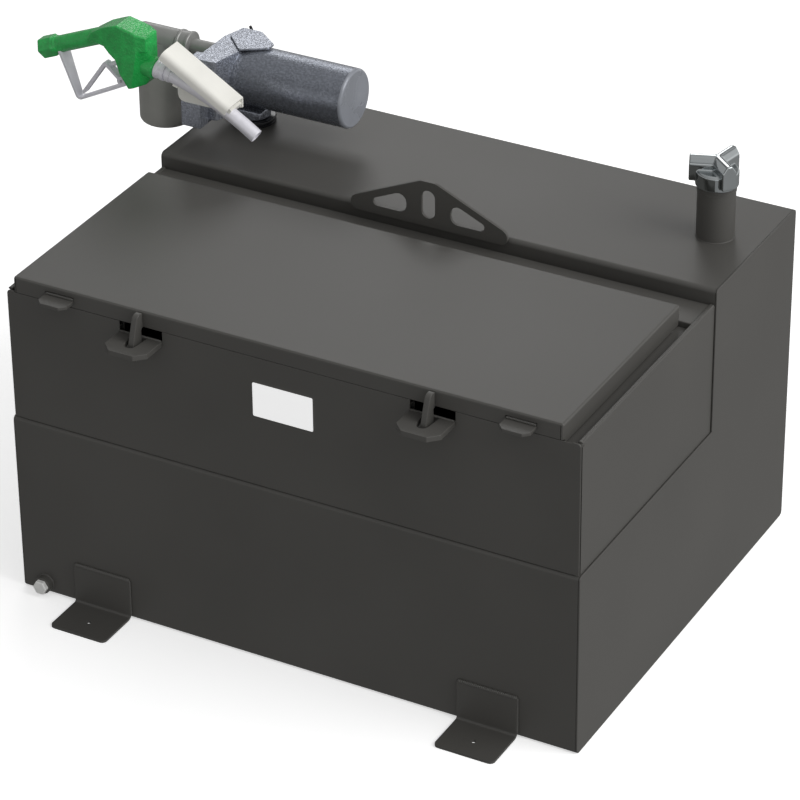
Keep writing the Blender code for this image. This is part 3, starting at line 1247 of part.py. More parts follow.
def make_spout(at):
    """The bent spout tube with its ferrule and the collar that clamps it to the body."""
    start = spout_start()
    direction = spout_direction()
    bore = SPOUT_RADIUS + SPOUT_CLEARANCE
    collar = [(bore, COLLAR_LENGTH), (COLLAR_RADIUS - 1 * MM, COLLAR_LENGTH), (COLLAR_RADIUS, COLLAR_LENGTH - 1 * MM),
              (COLLAR_RADIUS, 1 * MM), (COLLAR_RADIUS - 1 * MM, 0), (bore, 0)]
    turn = direction.to_track_quat("Z", "Y").to_euler()
    turned("spout_collar", collar, SILVER, start, turn, at, 32, ring=True)
    ferrule_start = spout_point(0.118)
    ferrule_end = spout_point(0.165)
    pipe("spout_ferrule", (ferrule_start.x, 0, ferrule_start.y), (ferrule_end.x, 0, ferrule_end.y),
         FERRULE_RADIUS, bore, SILVER, at, 24)
    curve = bpy.data.curves.new("spout", "CURVE")
    curve.dimensions = "3D"
    curve.bevel_depth = SPOUT_RADIUS
    curve.bevel_resolution = 4
    spline = curve.splines.new("POLY")
    first = 0.012
    count = 14
    spline.points.add(count)
    for index, point in enumerate(spline.points):
        place = spout_point(first + (1 - first) * index / count)
        point.co = (place.x, 0, place.y, 1)
    spout = link("spout", curve, SILVER, parent=at)
    spout = as_mesh(spout)
    wall = spout.modifiers.new("wall", "SOLIDIFY")
    wall.thickness = SPOUT_WALL
    wall.offset = -1
    shade(spout)


def stem_point(distance):
    """A point on the valve stem's line, measured from its outer end into the body."""
    outer_end = Vector((-STEM_REACH, 0, -STEM_DROP))
    direction = Vector((math.cos(STEM_TILT), 0, math.sin(STEM_TILT)))
    return outer_end + direction * distance


def make_trigger(at):
    """The guard loop, the squeeze lever on its pin and the valve stem that the lever pushes."""
    make_guard(at)
    knee = PIVOT + Vector((-LEVER_KNEE_REACH, 0, LEVER_KNEE_RISE))
    free_end = PIVOT + Vector((-LEVER_REACH, 0, -LEVER_DROP))
    path = [(PIVOT.x, PIVOT.z), (knee.x, knee.z), (free_end.x, free_end.z)]
    section = strip(path, LEVER_THICK)
    section = rounded(section, [2 * MM, 5 * MM, 2 * MM, 2 * MM, 2 * MM, 2 * MM], 2)
    lever = plate("trigger_lever", [section], LEVER_WIDTH, SILVER, at=(-PIVOT.x, 0, -PIVOT.z), turn=ACROSS)
    axis = empty("trigger_axis", PIVOT, at)
    lever.parent = axis
    eye_reach = LEVER_WIDTH / 2 + EYE_PROUD
    eye = rod("trigger_eye", (0, -eye_reach, 0), (0, eye_reach, 0), LEVER_EYE_RADIUS, SILVER, axis, 16)
    join(lever, eye)
    pin_hole = rod("trigger_hole", (0, -2 * eye_reach, 0), (0, 2 * eye_reach, 0), LEVER_PIN_RADIUS + PIN_RUN,
                   SILVER, axis, 16)
    cut(lever, pin_hole)
    ear = eye_reach + GUARD_THICK / 2 + 1 * MM
    rod("trigger_pin", (0, -ear, 0), (0, ear, 0), LEVER_PIN_RADIUS, BARE_STEEL, axis, 16)
    rod("valve_stem", stem_point(0), stem_point(STEM_LENGTH), STEM_RADIUS, BLACK_STEEL, at, 16, 0.8 * MM)


def make_guard(at):
    """The guard: a band that narrows down to its corner and runs back to the body's foot."""
    top = Vector((-GUARD_REACH, -GUARD_THICK))
    corner = Vector((-GUARD_CORNER_REACH, -GUARD_CORNER_DROP))
    foot = Vector((-GUARD_FOOT_REACH, -GUARD_FOOT_DROP))
    path = [tuple(top), tuple(corner), tuple(foot)]
    section = strip(path, GUARD_THICK)
    section = rounded(section, [0, 9 * MM, 0, 0, 5 * MM, 0], 4)
    guard = plate("trigger_guard", [section], GUARD_WIDTH_LOW, SILVER, turn=ACROSS, parent=at)
    for vert in guard.data.vertices:
        if vert.co.y > (top.y + corner.y) / 2 and vert.co.x < corner.x:
            vert.co.z *= GUARD_WIDTH_TOP / GUARD_WIDTH_LOW
    direction = Vector((math.cos(HANDLE_TILT), 0, math.sin(HANDLE_TILT)))
    saddle = rod("guard_saddle", HANDLE_START - direction * 20 * MM, HANDLE_START + direction * 60 * MM,
                 HANDLE_RADIUS + SEAT, SILVER, at, 24)
    cut(guard, saddle)
    ear_in = LEVER_WIDTH / 2 + EYE_PROUD + SEAT
    for side in (-1, 1):
        outer = side * (ear_in + GUARD_THICK / 2)
        ear = rod("guard_ear_%d" % side, (PIVOT.x, side * ear_in, PIVOT.z), (PIVOT.x, outer, PIVOT.z),
                  LEVER_EYE_RADIUS + 3 * MM, SILVER, at, 16)
        join(guard, ear)
    bore = rod("guard_bore", (PIVOT.x, -20 * MM, PIVOT.z), (PIVOT.x, 20 * MM, PIVOT.z),
               LEVER_PIN_RADIUS + PIN_RUN, SILVER, at, 16)
    cut(guard, bore)


make_tank()
make_baffles()
make_feet()
make_drain()
make_lifting_plate()
make_filler()
make_toolbox_shell()
make_opening_frame()
make_rims()
make_rear_deck()
make_name_plate()
make_lid()
make_lid_seal()
make_hinge()
make_lift_tabs()
make_hasps()
make_pump()
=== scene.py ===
"""How a truck bed transfer tank looks: its finishes, its finer pieces, the light and the camera.

Lengths are in metres. X runs along the tank to its right end, Y to its rear and Z up, as in the frame.
"""

from __future__ import annotations

import logging
import math
from collections.abc import Callable, Mapping, Sequence
from dataclasses import dataclass
from enum import Enum
from typing import Any

import bmesh
import bpy
from mathutils import Matrix, Vector


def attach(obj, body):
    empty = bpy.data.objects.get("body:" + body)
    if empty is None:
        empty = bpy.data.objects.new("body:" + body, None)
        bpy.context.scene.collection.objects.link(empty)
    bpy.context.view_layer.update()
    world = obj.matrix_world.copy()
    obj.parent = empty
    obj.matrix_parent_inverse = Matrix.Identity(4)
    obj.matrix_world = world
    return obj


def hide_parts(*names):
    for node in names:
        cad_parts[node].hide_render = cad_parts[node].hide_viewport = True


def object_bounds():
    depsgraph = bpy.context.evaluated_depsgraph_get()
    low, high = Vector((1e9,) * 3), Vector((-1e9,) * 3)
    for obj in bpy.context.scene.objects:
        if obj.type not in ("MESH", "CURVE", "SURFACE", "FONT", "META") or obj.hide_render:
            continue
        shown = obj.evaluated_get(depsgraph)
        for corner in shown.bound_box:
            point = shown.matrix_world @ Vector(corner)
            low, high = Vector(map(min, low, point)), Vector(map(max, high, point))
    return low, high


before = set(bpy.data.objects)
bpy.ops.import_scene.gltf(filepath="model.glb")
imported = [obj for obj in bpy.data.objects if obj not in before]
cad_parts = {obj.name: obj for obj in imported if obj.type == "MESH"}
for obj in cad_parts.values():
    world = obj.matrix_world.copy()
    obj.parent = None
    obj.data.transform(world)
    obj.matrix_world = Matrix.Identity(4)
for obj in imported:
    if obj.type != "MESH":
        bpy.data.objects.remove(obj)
CAD_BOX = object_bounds()

MM = 0.001
MERGE = 0.002 * MM  # corners closer than this are one
NEAR = 0.4 * MM  # what is closer than this to a place lies on it
ALONG = 0.9  # a direction with more than this of an axis runs along it
FLAT = math.radians(0.4)  # faces that meet flatter than this are one
ROUND = 60.0  # degrees under which a round section is shaded smooth
BEAD_PITCH = 0.9  # a bead's ripples lie this many radii apart
BEAD_RIPPLE = 0.14  # and rise this share of the radius
BEAD_TIP = 0.45  # a bead's end has this share of its radius
BEAD_TAPER = 0.2  # and gains this share at each step
BEAD_SIDES = 14
NOISE_LOW, NOISE_HIGH = 0.3, 0.7  # nearly all of a noise lies between these
MIX_SHARE, MIX_FIRST, MIX_SECOND, MIX_RESULT = 0, 6, 7, 2  # sockets of a Mix node for colours
WHITE = (1.0, 1.0, 1.0, 1.0)
LOG = logging.getLogger("transfer_tank")

Place = tuple[float, float, float]
Colour = tuple[float, float, float]
Profile = list[tuple[float, float]]


# Finishes


class Shade:
    """A node socket that takes part in arithmetic; each expression adds its Math nodes."""

    def __init__(self, nodes: Nodes, socket: bpy.types.NodeSocket) -> None:
        """Wraps a socket of a node tree."""
        self.nodes = nodes
        self.socket = socket

    def _math(self, operation: str, first: Any, second: Any) -> Shade:
        """Adds one Math node for two values and gives its result."""
        return self.nodes.result("ShaderNodeMath", {"operation": operation}, {0: first, 1: second})

    def __add__(self, other: Any) -> Shade:
        """Adds a value to this one."""
        return self._math("ADD", self, other)

    def __radd__(self, other: Any) -> Shade:
        """Adds this value to a number."""
        return self._math("ADD", other, self)

    def __mul__(self, other: Any) -> Shade:
        """Multiplies this value."""
        return self._math("MULTIPLY", self, other)

    def __rmul__(self, other: Any) -> Shade:
        """Multiplies a number by this value."""
        return self._math("MULTIPLY", other, self)


class Nodes:
    """A node tree, and the one way in which nodes come into it."""

    def __init__(self, tree: bpy.types.NodeTree) -> None:
        """Takes up a node tree."""
        self.tree = tree

    def node(self, kind: str, settings: Mapping[str, Any], inputs: Mapping[Any, Any]) -> bpy.types.Node:
        """Adds a node.

        Args:
            kind: The node's type.
            settings: Its own settings, with a colour ramp's (position, grey) pairs as "stops".
            inputs: Values or shades for its sockets, by name or number.

        Returns:
            The new node.
        """
        made = self.tree.nodes.new(kind)
        for name, value in settings.items():
            if name == "stops":
                self.set_stops(made.color_ramp, value)
            else:
                setattr(made, name, value)
        self.feed(made, inputs)
        return made

    def feed(self, node: bpy.types.Node, inputs: Mapping[Any, Any]) -> None:
        """Gives a node's sockets their values or links.

        Args:
            node: The node.
            inputs: Values or shades, by the socket's name or number.
        """
        for name, value in inputs.items():
            if isinstance(value, Shade):
                self.tree.links.new(value.socket, node.inputs[name])
            else:
                node.inputs[name].default_value = value

    @staticmethod
    def set_stops(ramp: bpy.types.ColorRamp, stops: Sequence[tuple[float, float]]) -> None:
        """Gives a colour ramp its grey stops.

        Args:
            ramp: The ramp.
            stops: Its (position, grey) pairs.
        """
        while len(ramp.elements) < len(stops):
            ramp.elements.new(1.0)
        for element, (position, grey) in zip(ramp.elements, stops):
            element.position = position
            element.color = (grey, grey, grey, 1.0)

    def result(self, kind: str, settings: Mapping[str, Any], inputs: Mapping[Any, Any],
               output: int | str = 0) -> Shade:
        """Adds a node and gives one of its outputs."""
        return Shade(self, self.node(kind, settings, inputs).outputs[output])


class Recipe(Nodes):
    """The node tree of one finish: a Principled shader and what varies over the surface."""

    def __init__(self, finish: Finish) -> None:
        """Starts a material.

        Args:
            finish: The finish whose name and even values it takes.
        """
        self.material = bpy.data.materials.new(finish.name)
        self.material.use_nodes = True
        super().__init__(self.material.node_tree)
        self.tree.nodes.clear()
        even = {"Base Color": (*finish.colour, 1.0), "Roughness": finish.roughness,
                "Metallic": finish.metallic}
        self.shader = self.node("ShaderNodeBsdfPrincipled", {}, even)
        surface = Shade(self, self.shader.outputs[0])
        self.node("ShaderNodeOutputMaterial", {}, {"Surface": surface})
        self.place = self.result("ShaderNodeTexCoord", {}, {}, "Object")

    def drawn(self, scale: Place) -> Shade:
        """Gives the surface's place, scaled along each axis."""
        return self.result("ShaderNodeMapping", {}, {"Vector": self.place, "Scale": scale})

    def noise(self, scale: float, detail: float = 2.0, at: Shade | None = None, warp: float = 0.0) -> Shade:
        """Gives soft noise from 0 to 1, with so many waves to the metre."""
        inputs = {"Vector": at or self.place, "Scale": scale, "Detail": detail, "Distortion": warp}
        return self.result("ShaderNodeTexNoise", {}, inputs)

    def cells(self, scale: float) -> Shade:
        """Gives the distance to the nearest of scattered points, so many to the metre."""
        return self.result("ShaderNodeTexVoronoi", {"feature": "F1"}, {"Vector": self.place, "Scale": scale})

    def ramp(self, value: Shade, *stops: tuple[float, float]) -> Shade:
        """Maps a value through (position, grey) stops."""
        return self.result("ShaderNodeValToRGB", {"stops": stops}, {0: value})

    def spread(self, value: Shade, low: float = 0.0, high: float = 1.0) -> Shade:
        """Maps noise, which stays near the middle, to a range."""
        inputs = {"Value": value, "From Min": NOISE_LOW, "From Max": NOISE_HIGH,
                  "To Min": low, "To Max": high}
        return self.result("ShaderNodeMapRange", {}, inputs)

    def mixed(self, share: Shade, first: Colour, second: Colour) -> Shade:
        """Mixes two colours by a share of the second."""
        inputs = {MIX_SHARE: share, MIX_FIRST: (*first, 1.0), MIX_SECOND: (*second, 1.0)}
        return self.result("ShaderNodeMix", {"data_type": "RGBA"}, inputs, MIX_RESULT)

    def relief(self, height: Shade, depth: float) -> Shade:
        """Turns a height into a normal."""
        return self.result("ShaderNodeBump", {}, {"Height": height, "Distance": depth, "Strength": 1.0})

    def give(self, inputs: Mapping[str, Any]) -> None:
        """Gives the shader even values, or shades that vary over the surface."""
        self.feed(self.shader, inputs)


@dataclass(frozen=True)
class Finish:
    """A finish: its record slot and its even values, with the detail that a subclass adds."""

    name: str
    slot: str
    colour: Colour
    roughness: float
    metallic: float = 0.0

    def detail(self, recipe: Recipe) -> None:
        """Adds what varies over the surface."""

    def tones(self, recipe: Recipe, share: Shade, less: float, more: float) -> Shade:
        """Lets the colour range from a share below its even value to a share above it."""
        dark, light = (tuple(min(1.0, c * scale) for c in self.colour) for scale in (1 - less, 1 + more))
        return recipe.mixed(share, dark, light)

    def rough(self, recipe: Recipe, noise: Shade, less: float, more: float) -> Shade:
        """Lets the roughness range from below its even value to above it."""
        return recipe.spread(noise, self.roughness - less, self.roughness + more)

    def material(self) -> bpy.types.Material:
        """Gives the finish's material, mixed on its first use.

        Returns:
            The material.
        """
        known = bpy.data.materials.get(self.name)
        if known:
            return known
        recipe = Recipe(self)
        self.detail(recipe)
        return recipe.material


@dataclass(frozen=True)
class PowderCoat(Finish):
    """Baked powder over steel: satin, with a fine orange peel and faint clouds."""

    cloud: float = 0.07
    cloud_waves: float = 4.5
    speck_waves: float = 520.0
    peel_waves: float = 330.0
    fine_waves: float = 1100.0
    peel_depth: float = 0.022 * MM

    def detail(self, recipe: Recipe) -> None:
        """Adds clouds, speckle and the peel.

        Args:
            recipe: The finish's node tree.
        """
        clouds = recipe.noise(self.cloud_waves, 4.0)
        specks = recipe.noise(self.speck_waves)
        tone = recipe.spread(clouds, 0.0, 0.8) + recipe.spread(specks, 0.0, 0.35)
        peel = recipe.noise(self.peel_waves, 1.0) + 0.45 * recipe.noise(self.fine_waves, 1.0)
        recipe.give({"Base Color": self.tones(recipe, tone, self.cloud, self.cloud),
                     "Roughness": self.rough(recipe, clouds, 0.015, 0.02),
                     "Normal": recipe.relief(peel, self.peel_depth)})


@dataclass(frozen=True)
class HammeredPaint(Finish):
    """Hammered paint: bright metal flakes and dark hollows, drawn out where the metal was drawn."""

    flakes: float = 300.0
    depth: float = 0.5 * MM
    contrast: float = 0.75
    stretch: Place = (1.0, 1.0, 1.0)
    hollow: float = 0.44
    crest: float = 0.58
    gloss_waves: float = 90.0

    def detail(self, recipe: Recipe) -> None:
        """Adds the flakes and the hollows.

        Args:
            recipe: The finish's node tree.
        """
        stir = recipe.noise(self.flakes, 3.0, recipe.drawn(self.stretch))
        flake = recipe.ramp(stir, (self.hollow, 0.0), (self.crest, 1.0))
        recipe.give({"Base Color": self.tones(recipe, flake, self.contrast, 1.3 * self.contrast),
                     "Roughness": self.rough(recipe, recipe.noise(self.gloss_waves), 0.05, 0.08),
                     "Normal": recipe.relief(stir, self.depth)})


@dataclass(frozen=True)
class Enamel(Finish):
    """Glossy enamel over a grainy casting."""

    grain: float = 270.0
    depth: float = 1.1 * MM
    tone_waves: float = 60.0
    shine: float = 0.9

    def detail(self, recipe: Recipe) -> None:
        """Adds the casting's grain and slight changes of tone.

        Args:
            recipe: The finish's node tree.
        """
        tone = recipe.spread(recipe.noise(self.tone_waves, 3.0))
        grain = recipe.noise(self.grain) + 0.4 * recipe.noise(self.grain * 2.6, 1.0)
        recipe.give({"Base Color": self.tones(recipe, tone, 0.2, 0.15),
                     "Normal": recipe.relief(grain, self.depth),
                     "Specular IOR Level": self.shine})


@dataclass(frozen=True)
class SoftMetal(Finish):
    """Bead-blasted or plated metal with a soft grain."""

    grain: float = 700.0
    depth: float = 0.012 * MM
    smear: float = 0.08
    smear_waves: float = 26.0

    def detail(self, recipe: Recipe) -> None:
        """Adds grain, and smears of a slightly other gloss.

        Args:
            recipe: The finish's node tree.
        """
        smears = recipe.noise(self.smear_waves, 4.0, warp=0.6)
        recipe.give({"Base Color": self.tones(recipe, recipe.spread(smears), self.smear, self.smear),
                     "Roughness": self.rough(recipe, smears, 0.05, 0.07),
                     "Normal": recipe.relief(recipe.noise(self.grain), self.depth)})


@dataclass(frozen=True)
class RolledTube(Finish):
    """A drawn can or tube: grey paint with faint bands along its height, whose lighter and darker tone is
    painted reflection streaks, and whose gloss varies with them.
    """

    bands: float = 34.0
    contrast: float = 0.14
    draw: Place = (1.0, 1.0, 0.04)
    cloud_waves: float = 40.0
    grain: float = 500.0
    depth: float = 0.01 * MM

    def detail(self, recipe: Recipe) -> None:
        """Adds the bands, with their painted reflection streaks of tone, and a little unevenness across
        them.

        Args:
            recipe: The finish's node tree.
        """
        bands = recipe.noise(self.bands, 2.0, recipe.drawn(self.draw))
        clouds = recipe.noise(self.cloud_waves, 3.0)
        # painted reflection: the tone goes lighter and darker in vertical bands, as reflection streaks on a
        # round can
        tone = 0.75 * recipe.spread(bands) + 0.25 * recipe.spread(clouds)
        recipe.give({"Base Color": self.tones(recipe, tone, self.contrast, self.contrast),
                     "Roughness": self.rough(recipe, bands, 0.06, 0.08),
                     "Normal": recipe.relief(recipe.noise(self.grain), self.depth)})


@dataclass(frozen=True)
class Moulded(Finish):
    """Moulded plastic or rubber with a fine leathery grain."""

    grain: float = 480.0
    depth: float = 0.02 * MM
    cloud: float = 0.05
    cloud_waves: float = 14.0

    def detail(self, recipe: Recipe) -> None:
        """Adds the mould's grain and a faint unevenness of tone.

        Args:
            recipe: The finish's node tree.
        """
        clouds = recipe.noise(self.cloud_waves, 3.0)
        recipe.give({"Base Color": self.tones(recipe, recipe.spread(clouds), self.cloud, self.cloud),
                     "Roughness": self.rough(recipe, clouds, 0.04, 0.05),
                     "Normal": recipe.relief(recipe.cells(self.grain), self.depth)})


@dataclass(frozen=True)
class PaleFloor(Finish):
    """A white floor with a light of its own, so that it stays white in shade."""

    light: float = 0.5

    def detail(self, recipe: Recipe) -> None:
        """Adds the light."""
        recipe.give({"Emission Color": WHITE, "Emission Strength": self.light})


@dataclass(frozen=True)
class WhiteFace(Finish):
    """A plain white face that stays bright in shade."""

    light: float = 0.45
    grain: float = 900.0
    depth: float = 0.004 * MM

    def detail(self, recipe: Recipe) -> None:
        """Adds a faint grain and a light of its own.

        Args:
            recipe: The finish's node tree.
        """
        grain = recipe.noise(self.grain)
        recipe.give({"Roughness": self.rough(recipe, grain, 0.04, 0.04),
                     "Normal": recipe.relief(grain, self.depth),
                     "Emission Color": WHITE, "Emission Strength": self.light})


POWDER = PowderCoat("charcoal powder coat", "grey_powder_coat", (0.079, 0.0765, 0.0705), 0.46)
BLACK = SoftMetal("blacked steel", "black_steel", (0.018, 0.018, 0.02), 0.2, 0.4)
STEEL = SoftMetal("bare steel", "bare_steel", (0.62, 0.62, 0.64), 0.3, 0.85)
BRIGHT = SoftMetal("zinc plated steel", "bare_steel", (0.9, 0.9, 0.88), 0.34, 0.1)
CHROME = SoftMetal("polished chrome", "chrome", (0.5, 0.53, 0.54), 0.07, 1.0,
                   grain=260.0, depth=0.002 * MM, smear=0.03)
RUBBER = Moulded("black rubber", "black_rubber", (0.018, 0.018, 0.018), 0.62)
PLATE = WhiteFace("blank white plate", "white_plate", (0.9, 0.9, 0.9), 0.3)
HAMMERED = HammeredPaint("hammered blue grey", "hammered_grey", (0.34, 0.36, 0.41), 0.22, 0.7,
                         flakes=300.0, depth=1.0 * MM, contrast=0.2)
DRUM = HammeredPaint("drawn hammered blue grey", "hammered_grey", (0.25, 0.268, 0.31), 0.25, 0.7,
                     flakes=400.0, depth=0.6 * MM, contrast=0.16, stretch=(0.6, 1.0, 1.0))
# painted light: a copy of the motor's blue grey, lighter than the drum's and less metal, for the end that
# faces the right-hand lamp; the end's smoothness is its own
LIT_SMOOTH_END = SoftMetal("smooth blue grey end", "hammered_grey", (0.285, 0.3, 0.335), 0.28, 0.15)
PIPE = SoftMetal("galvanized pipe", "pipe_grey", (0.34, 0.34, 0.33), 0.42, 0.35)
# the can's grey, with painted reflection streaks in vertical bands of tone
CAN = RolledTube("grey filter can", "pipe_grey", (0.36, 0.355, 0.332), 0.34, 0.1)
CREAM = Moulded("cream holster", "cream_plastic", (0.93, 0.92, 0.86), 0.4)
GREEN = Enamel("green enamel", "green_enamel", (0.013, 0.47, 0.085), 0.2)
SILVER = SoftMetal("lavender silver", "silver_metal", (0.88, 0.87, 0.93), 0.34, 0.2)
FLOOR = PaleFloor("studio floor", "", (0.95, 0.95, 0.95), 0.9)


# Modelling


class Part(Enum):
    """What a selection in edit mode holds."""

    CORNERS = "VERT"
    EDGES = "EDGE"


class Bench:
    """One piece being made: a mesh object that operators shape as by hand."""

    def __init__(self, piece: bpy.types.Object, name: str) -> None:
        """Takes up an object under a piece's name."""
        self.piece = piece
        piece.name = piece.data.name = name

    @staticmethod
    def clear() -> None:
        """Leaves edit mode and deselects everything."""
        if bpy.context.object and bpy.context.object.mode != "OBJECT":
            bpy.ops.object.mode_set(mode="OBJECT")
        bpy.ops.object.select_all(action="DESELECT")

    def take(self) -> None:
        """Selects the piece alone."""
        self.clear()
        self.piece.select_set(True)
        bpy.context.view_layer.objects.active = self.piece

    @staticmethod
    def settle() -> None:
        """Moves the selected object's place, turn and scale into its mesh."""
        bpy.ops.object.transform_apply(location=True, rotation=True, scale=True)

    @staticmethod
    def close_up() -> None:
        """Merges the active mesh's doubles and turns its faces outwards."""
        bpy.ops.object.mode_set(mode="EDIT")
        bpy.ops.mesh.select_all(action="SELECT")
        bpy.ops.mesh.remove_doubles(threshold=MERGE)
        bpy.ops.mesh.normals_make_consistent(inside=False)
        bpy.ops.object.mode_set(mode="OBJECT")

    @classmethod
    def copy_of(cls, node: str, name: str) -> Bench:
        """Starts a piece as a merged copy of a node.

        Args:
            node: The node's name in the frame.
            name: The new piece's name.

        Returns:
            The bench with the copy, its loose triangles joined into flat faces.
        """
        copy = bpy.data.objects.new(name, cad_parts[node].data.copy())
        bpy.context.scene.collection.objects.link(copy)
        bench = cls(copy, name)
        bench.take()
        bpy.ops.object.mode_set(mode="EDIT")
        bpy.ops.mesh.select_all(action="SELECT")
        bpy.ops.mesh.remove_doubles(threshold=MERGE)
        bpy.ops.mesh.dissolve_limited(angle_limit=FLAT)
        bpy.ops.object.mode_set(mode="OBJECT")
        return bench

    @classmethod
    def block(cls, name: str, low: Place, high: Place) -> Bench:
        """Starts a piece as a block.

        Args:
            name: The piece's name.
            low: Its corner with the least coordinates.
            high: Its corner with the greatest.

        Returns:
            The bench with the block.
        """
        cls.clear()
        bpy.ops.mesh.primitive_cube_add(size=1)
        bench = cls(bpy.context.object, name)
        bench.piece.scale = [b - a for a, b in zip(low, high)]
        bench.piece.location = [(a + b) / 2 for a, b in zip(low, high)]
        cls.settle()
        return bench

    @classmethod
    def turned(cls, name: str, profile: Profile, centre: Place, axis: Place, steps: int = 72) -> Bench:
        """Starts a piece as a profile turned round an axis, as on a lathe.

        Args:
            name: The piece's name.
            profile: (radius, height) pairs; it closes on the axis or on itself.
            centre: The point of the axis that heights are measured from.
            axis: The direction of the axis.
            steps: How many faces go round.

        Returns:
            The bench with the turned piece.
        """
        cls.clear()
        bpy.ops.mesh.primitive_plane_add(size=1)
        bench = cls(bpy.context.object, name)
        bpy.ops.object.mode_set(mode="EDIT")
        bpy.ops.mesh.select_mode(type=Part.CORNERS.value)
        bpy.ops.mesh.select_all(action="SELECT")
        bpy.ops.mesh.merge(type="CENTER")
        bpy.ops.transform.translate(value=(profile[0][0], 0, profile[0][1]))
        for (radius, height), (next_radius, next_height) in zip(profile, profile[1:]):
            step = (next_radius - radius, 0, next_height - height)
            bpy.ops.mesh.extrude_vertices_move(TRANSFORM_OT_translate={"value": step})
        bpy.ops.mesh.select_all(action="SELECT")
        bpy.ops.mesh.spin(steps=steps, angle=math.tau, center=(0, 0, 0), axis=(0, 0, 1))
        cls.close_up()
        bench.stand(centre, axis)
        return bench

    @classmethod
    def tube(cls, name: str, points: Sequence[Vector], radius: float, sides: int) -> Bench:
        """Starts a piece as a round rod along one smooth curve.

        Args:
            name: The piece's name.
            points: The two ends and the two handles between them.
            radius: The rod's radius.
            sides: How many steps a quarter of its section has.

        Returns:
            The bench with the rod, open at both ends.
        """
        cls.clear()
        bpy.ops.curve.primitive_bezier_curve_add()
        rod = bpy.context.object
        start, end = rod.data.splines[0].bezier_points
        for knot in (start, end):
            knot.handle_left_type = knot.handle_right_type = "FREE"
        start.co, start.handle_right, end.handle_left, end.co = points
        start.handle_left = start.co * 2 - start.handle_right
        end.handle_right = end.co * 2 - end.handle_left
        rod.data.resolution_u = 32
        rod.data.bevel_depth = radius
        rod.data.bevel_resolution = sides
        bpy.ops.object.convert(target="MESH")
        bench = cls(bpy.context.object, name)
        cls.close_up()
        return bench

    @classmethod
    def bead(cls, name: str, start: Place, end: Place, radius: float) -> Bench:
        """Starts a piece as a straight weld bead, rippled along its length.

        Args:
            name: The piece's name.
            start: Where the bead starts.
            end: Where it ends.
            radius: Its mean radius.

        Returns:
            The bench with the bead.
        """
        way = Vector(end) - Vector(start)
        last = 4 * max(4, round(way.length / (BEAD_PITCH * radius)))
        profile = [(0.0, 0.0)]
        for step in range(last + 1):
            swell = 1 - BEAD_RIPPLE * math.cos(step * math.pi / 2)
            taper = min(1.0, BEAD_TIP + BEAD_TAPER * min(step, last - step))
            profile.append((radius * swell * taper, way.length * step / last))
        profile.append((0.0, way.length))
        return cls.turned(name, profile, start, tuple(way), BEAD_SIDES)

    def twin(self, name: str, shift: Place) -> Bench:
        """Copies the piece, with a mesh of its own.

        Args:
            name: The copy's name.
            shift: How far it is moved from the first.

        Returns:
            The bench with the copy.
        """
        self.take()
        bpy.ops.object.duplicate(linked=False)
        bench = Bench(bpy.context.object, name)
        bench.take()
        bpy.ops.transform.translate(value=shift)
        self.settle()
        return bench

    def stand(self, centre: Place, axis: Place) -> None:
        """Moves a piece that was made at the origin along Z.

        Args:
            centre: Where its origin goes.
            axis: The direction that its Z takes.
        """
        turn = Vector((0, 0, 1)).rotation_difference(Vector(axis))
        self.take()
        self.piece.matrix_world = Matrix.Translation(centre) @ turn.to_matrix().to_4x4()
        self.settle()

    def modify(self, name: str, kind: str, **settings: Any) -> Bench:
        """Gives the piece a modifier and applies it.

        Args:
            name: The modifier's name.
            kind: Its type.
            **settings: Its settings.

        Returns:
            The bench itself.
        """
        self.take()
        modifier = self.piece.modifiers.new(name, kind)
        for setting, value in settings.items():
            setattr(modifier, setting, value)
        bpy.ops.object.modifier_apply(modifier=modifier.name)
        return self

    def cast(self, grain: float, rounds: int) -> Bench:
        """Turns the piece into an even skin with soft edges, as a casting has.

        Args:
            grain: How wide the skin's faces are.
            rounds: How many times the skin is evened out.

        Returns:
            The bench itself.
        """
        self.modify("skin", "REMESH", mode="VOXEL", voxel_size=grain, adaptivity=0.0)
        self.modify("even", "SMOOTH", factor=0.5, iterations=rounds)
        bpy.ops.object.shade_smooth()
        return self

    def cut(self, *tools: Bench) -> Bench:
        """Takes other benches' solids out of the piece.

        Args:
            *tools: The benches, whose pieces go.

        Returns:
            The bench itself.
        """
        for tool in tools:
            self.modify("cut", "BOOLEAN", operation="DIFFERENCE", object=tool.piece)
            bpy.data.objects.remove(tool.piece)
        return self

    def walled(self, thickness: float) -> Bench:
        """Gives an open skin a wall inwards."""
        return self.modify("wall", "SOLIDIFY", thickness=thickness, offset=-1.0)

    def soften(self, width: float, segments: int = 2, over: float = 40.0) -> Bench:
        """Rounds every edge that is sharper than an angle in degrees."""
        return self.modify("soft edges", "BEVEL", width=width, segments=segments, limit_method="ANGLE",
                           angle_limit=math.radians(over), use_clamp_overlap=True, harden_normals=False)

    def smooth(self, under: float = 35.0) -> Bench:
        """Shades smooth across edges flatter than an angle, with flat faces kept flat.

        Args:
            under: The angle in degrees.

        Returns:
            The bench itself.
        """
        self.take()
        bpy.ops.object.shade_smooth_by_angle(angle=math.radians(under))
        return self.modify("even faces", "WEIGHTED_NORMAL", keep_sharp=True)

    def ease(self, width: float, segments: int, test: Callable[[Vector, Vector], bool]) -> Bench:
        """Rounds the edges that pass a test.

        Args:
            width: How wide the round is.
            segments: How many faces it has.
            test: Takes an edge's middle and its direction.

        Returns:
            The bench itself.
        """
        found = self.pick(Part.EDGES, test)
        if found:
            bpy.ops.mesh.bevel(offset=width, segments=segments, affect="EDGES")
        bpy.ops.object.mode_set(mode="OBJECT")
        LOG.info("%s: %d edges eased", self.piece.name, found)
        return self

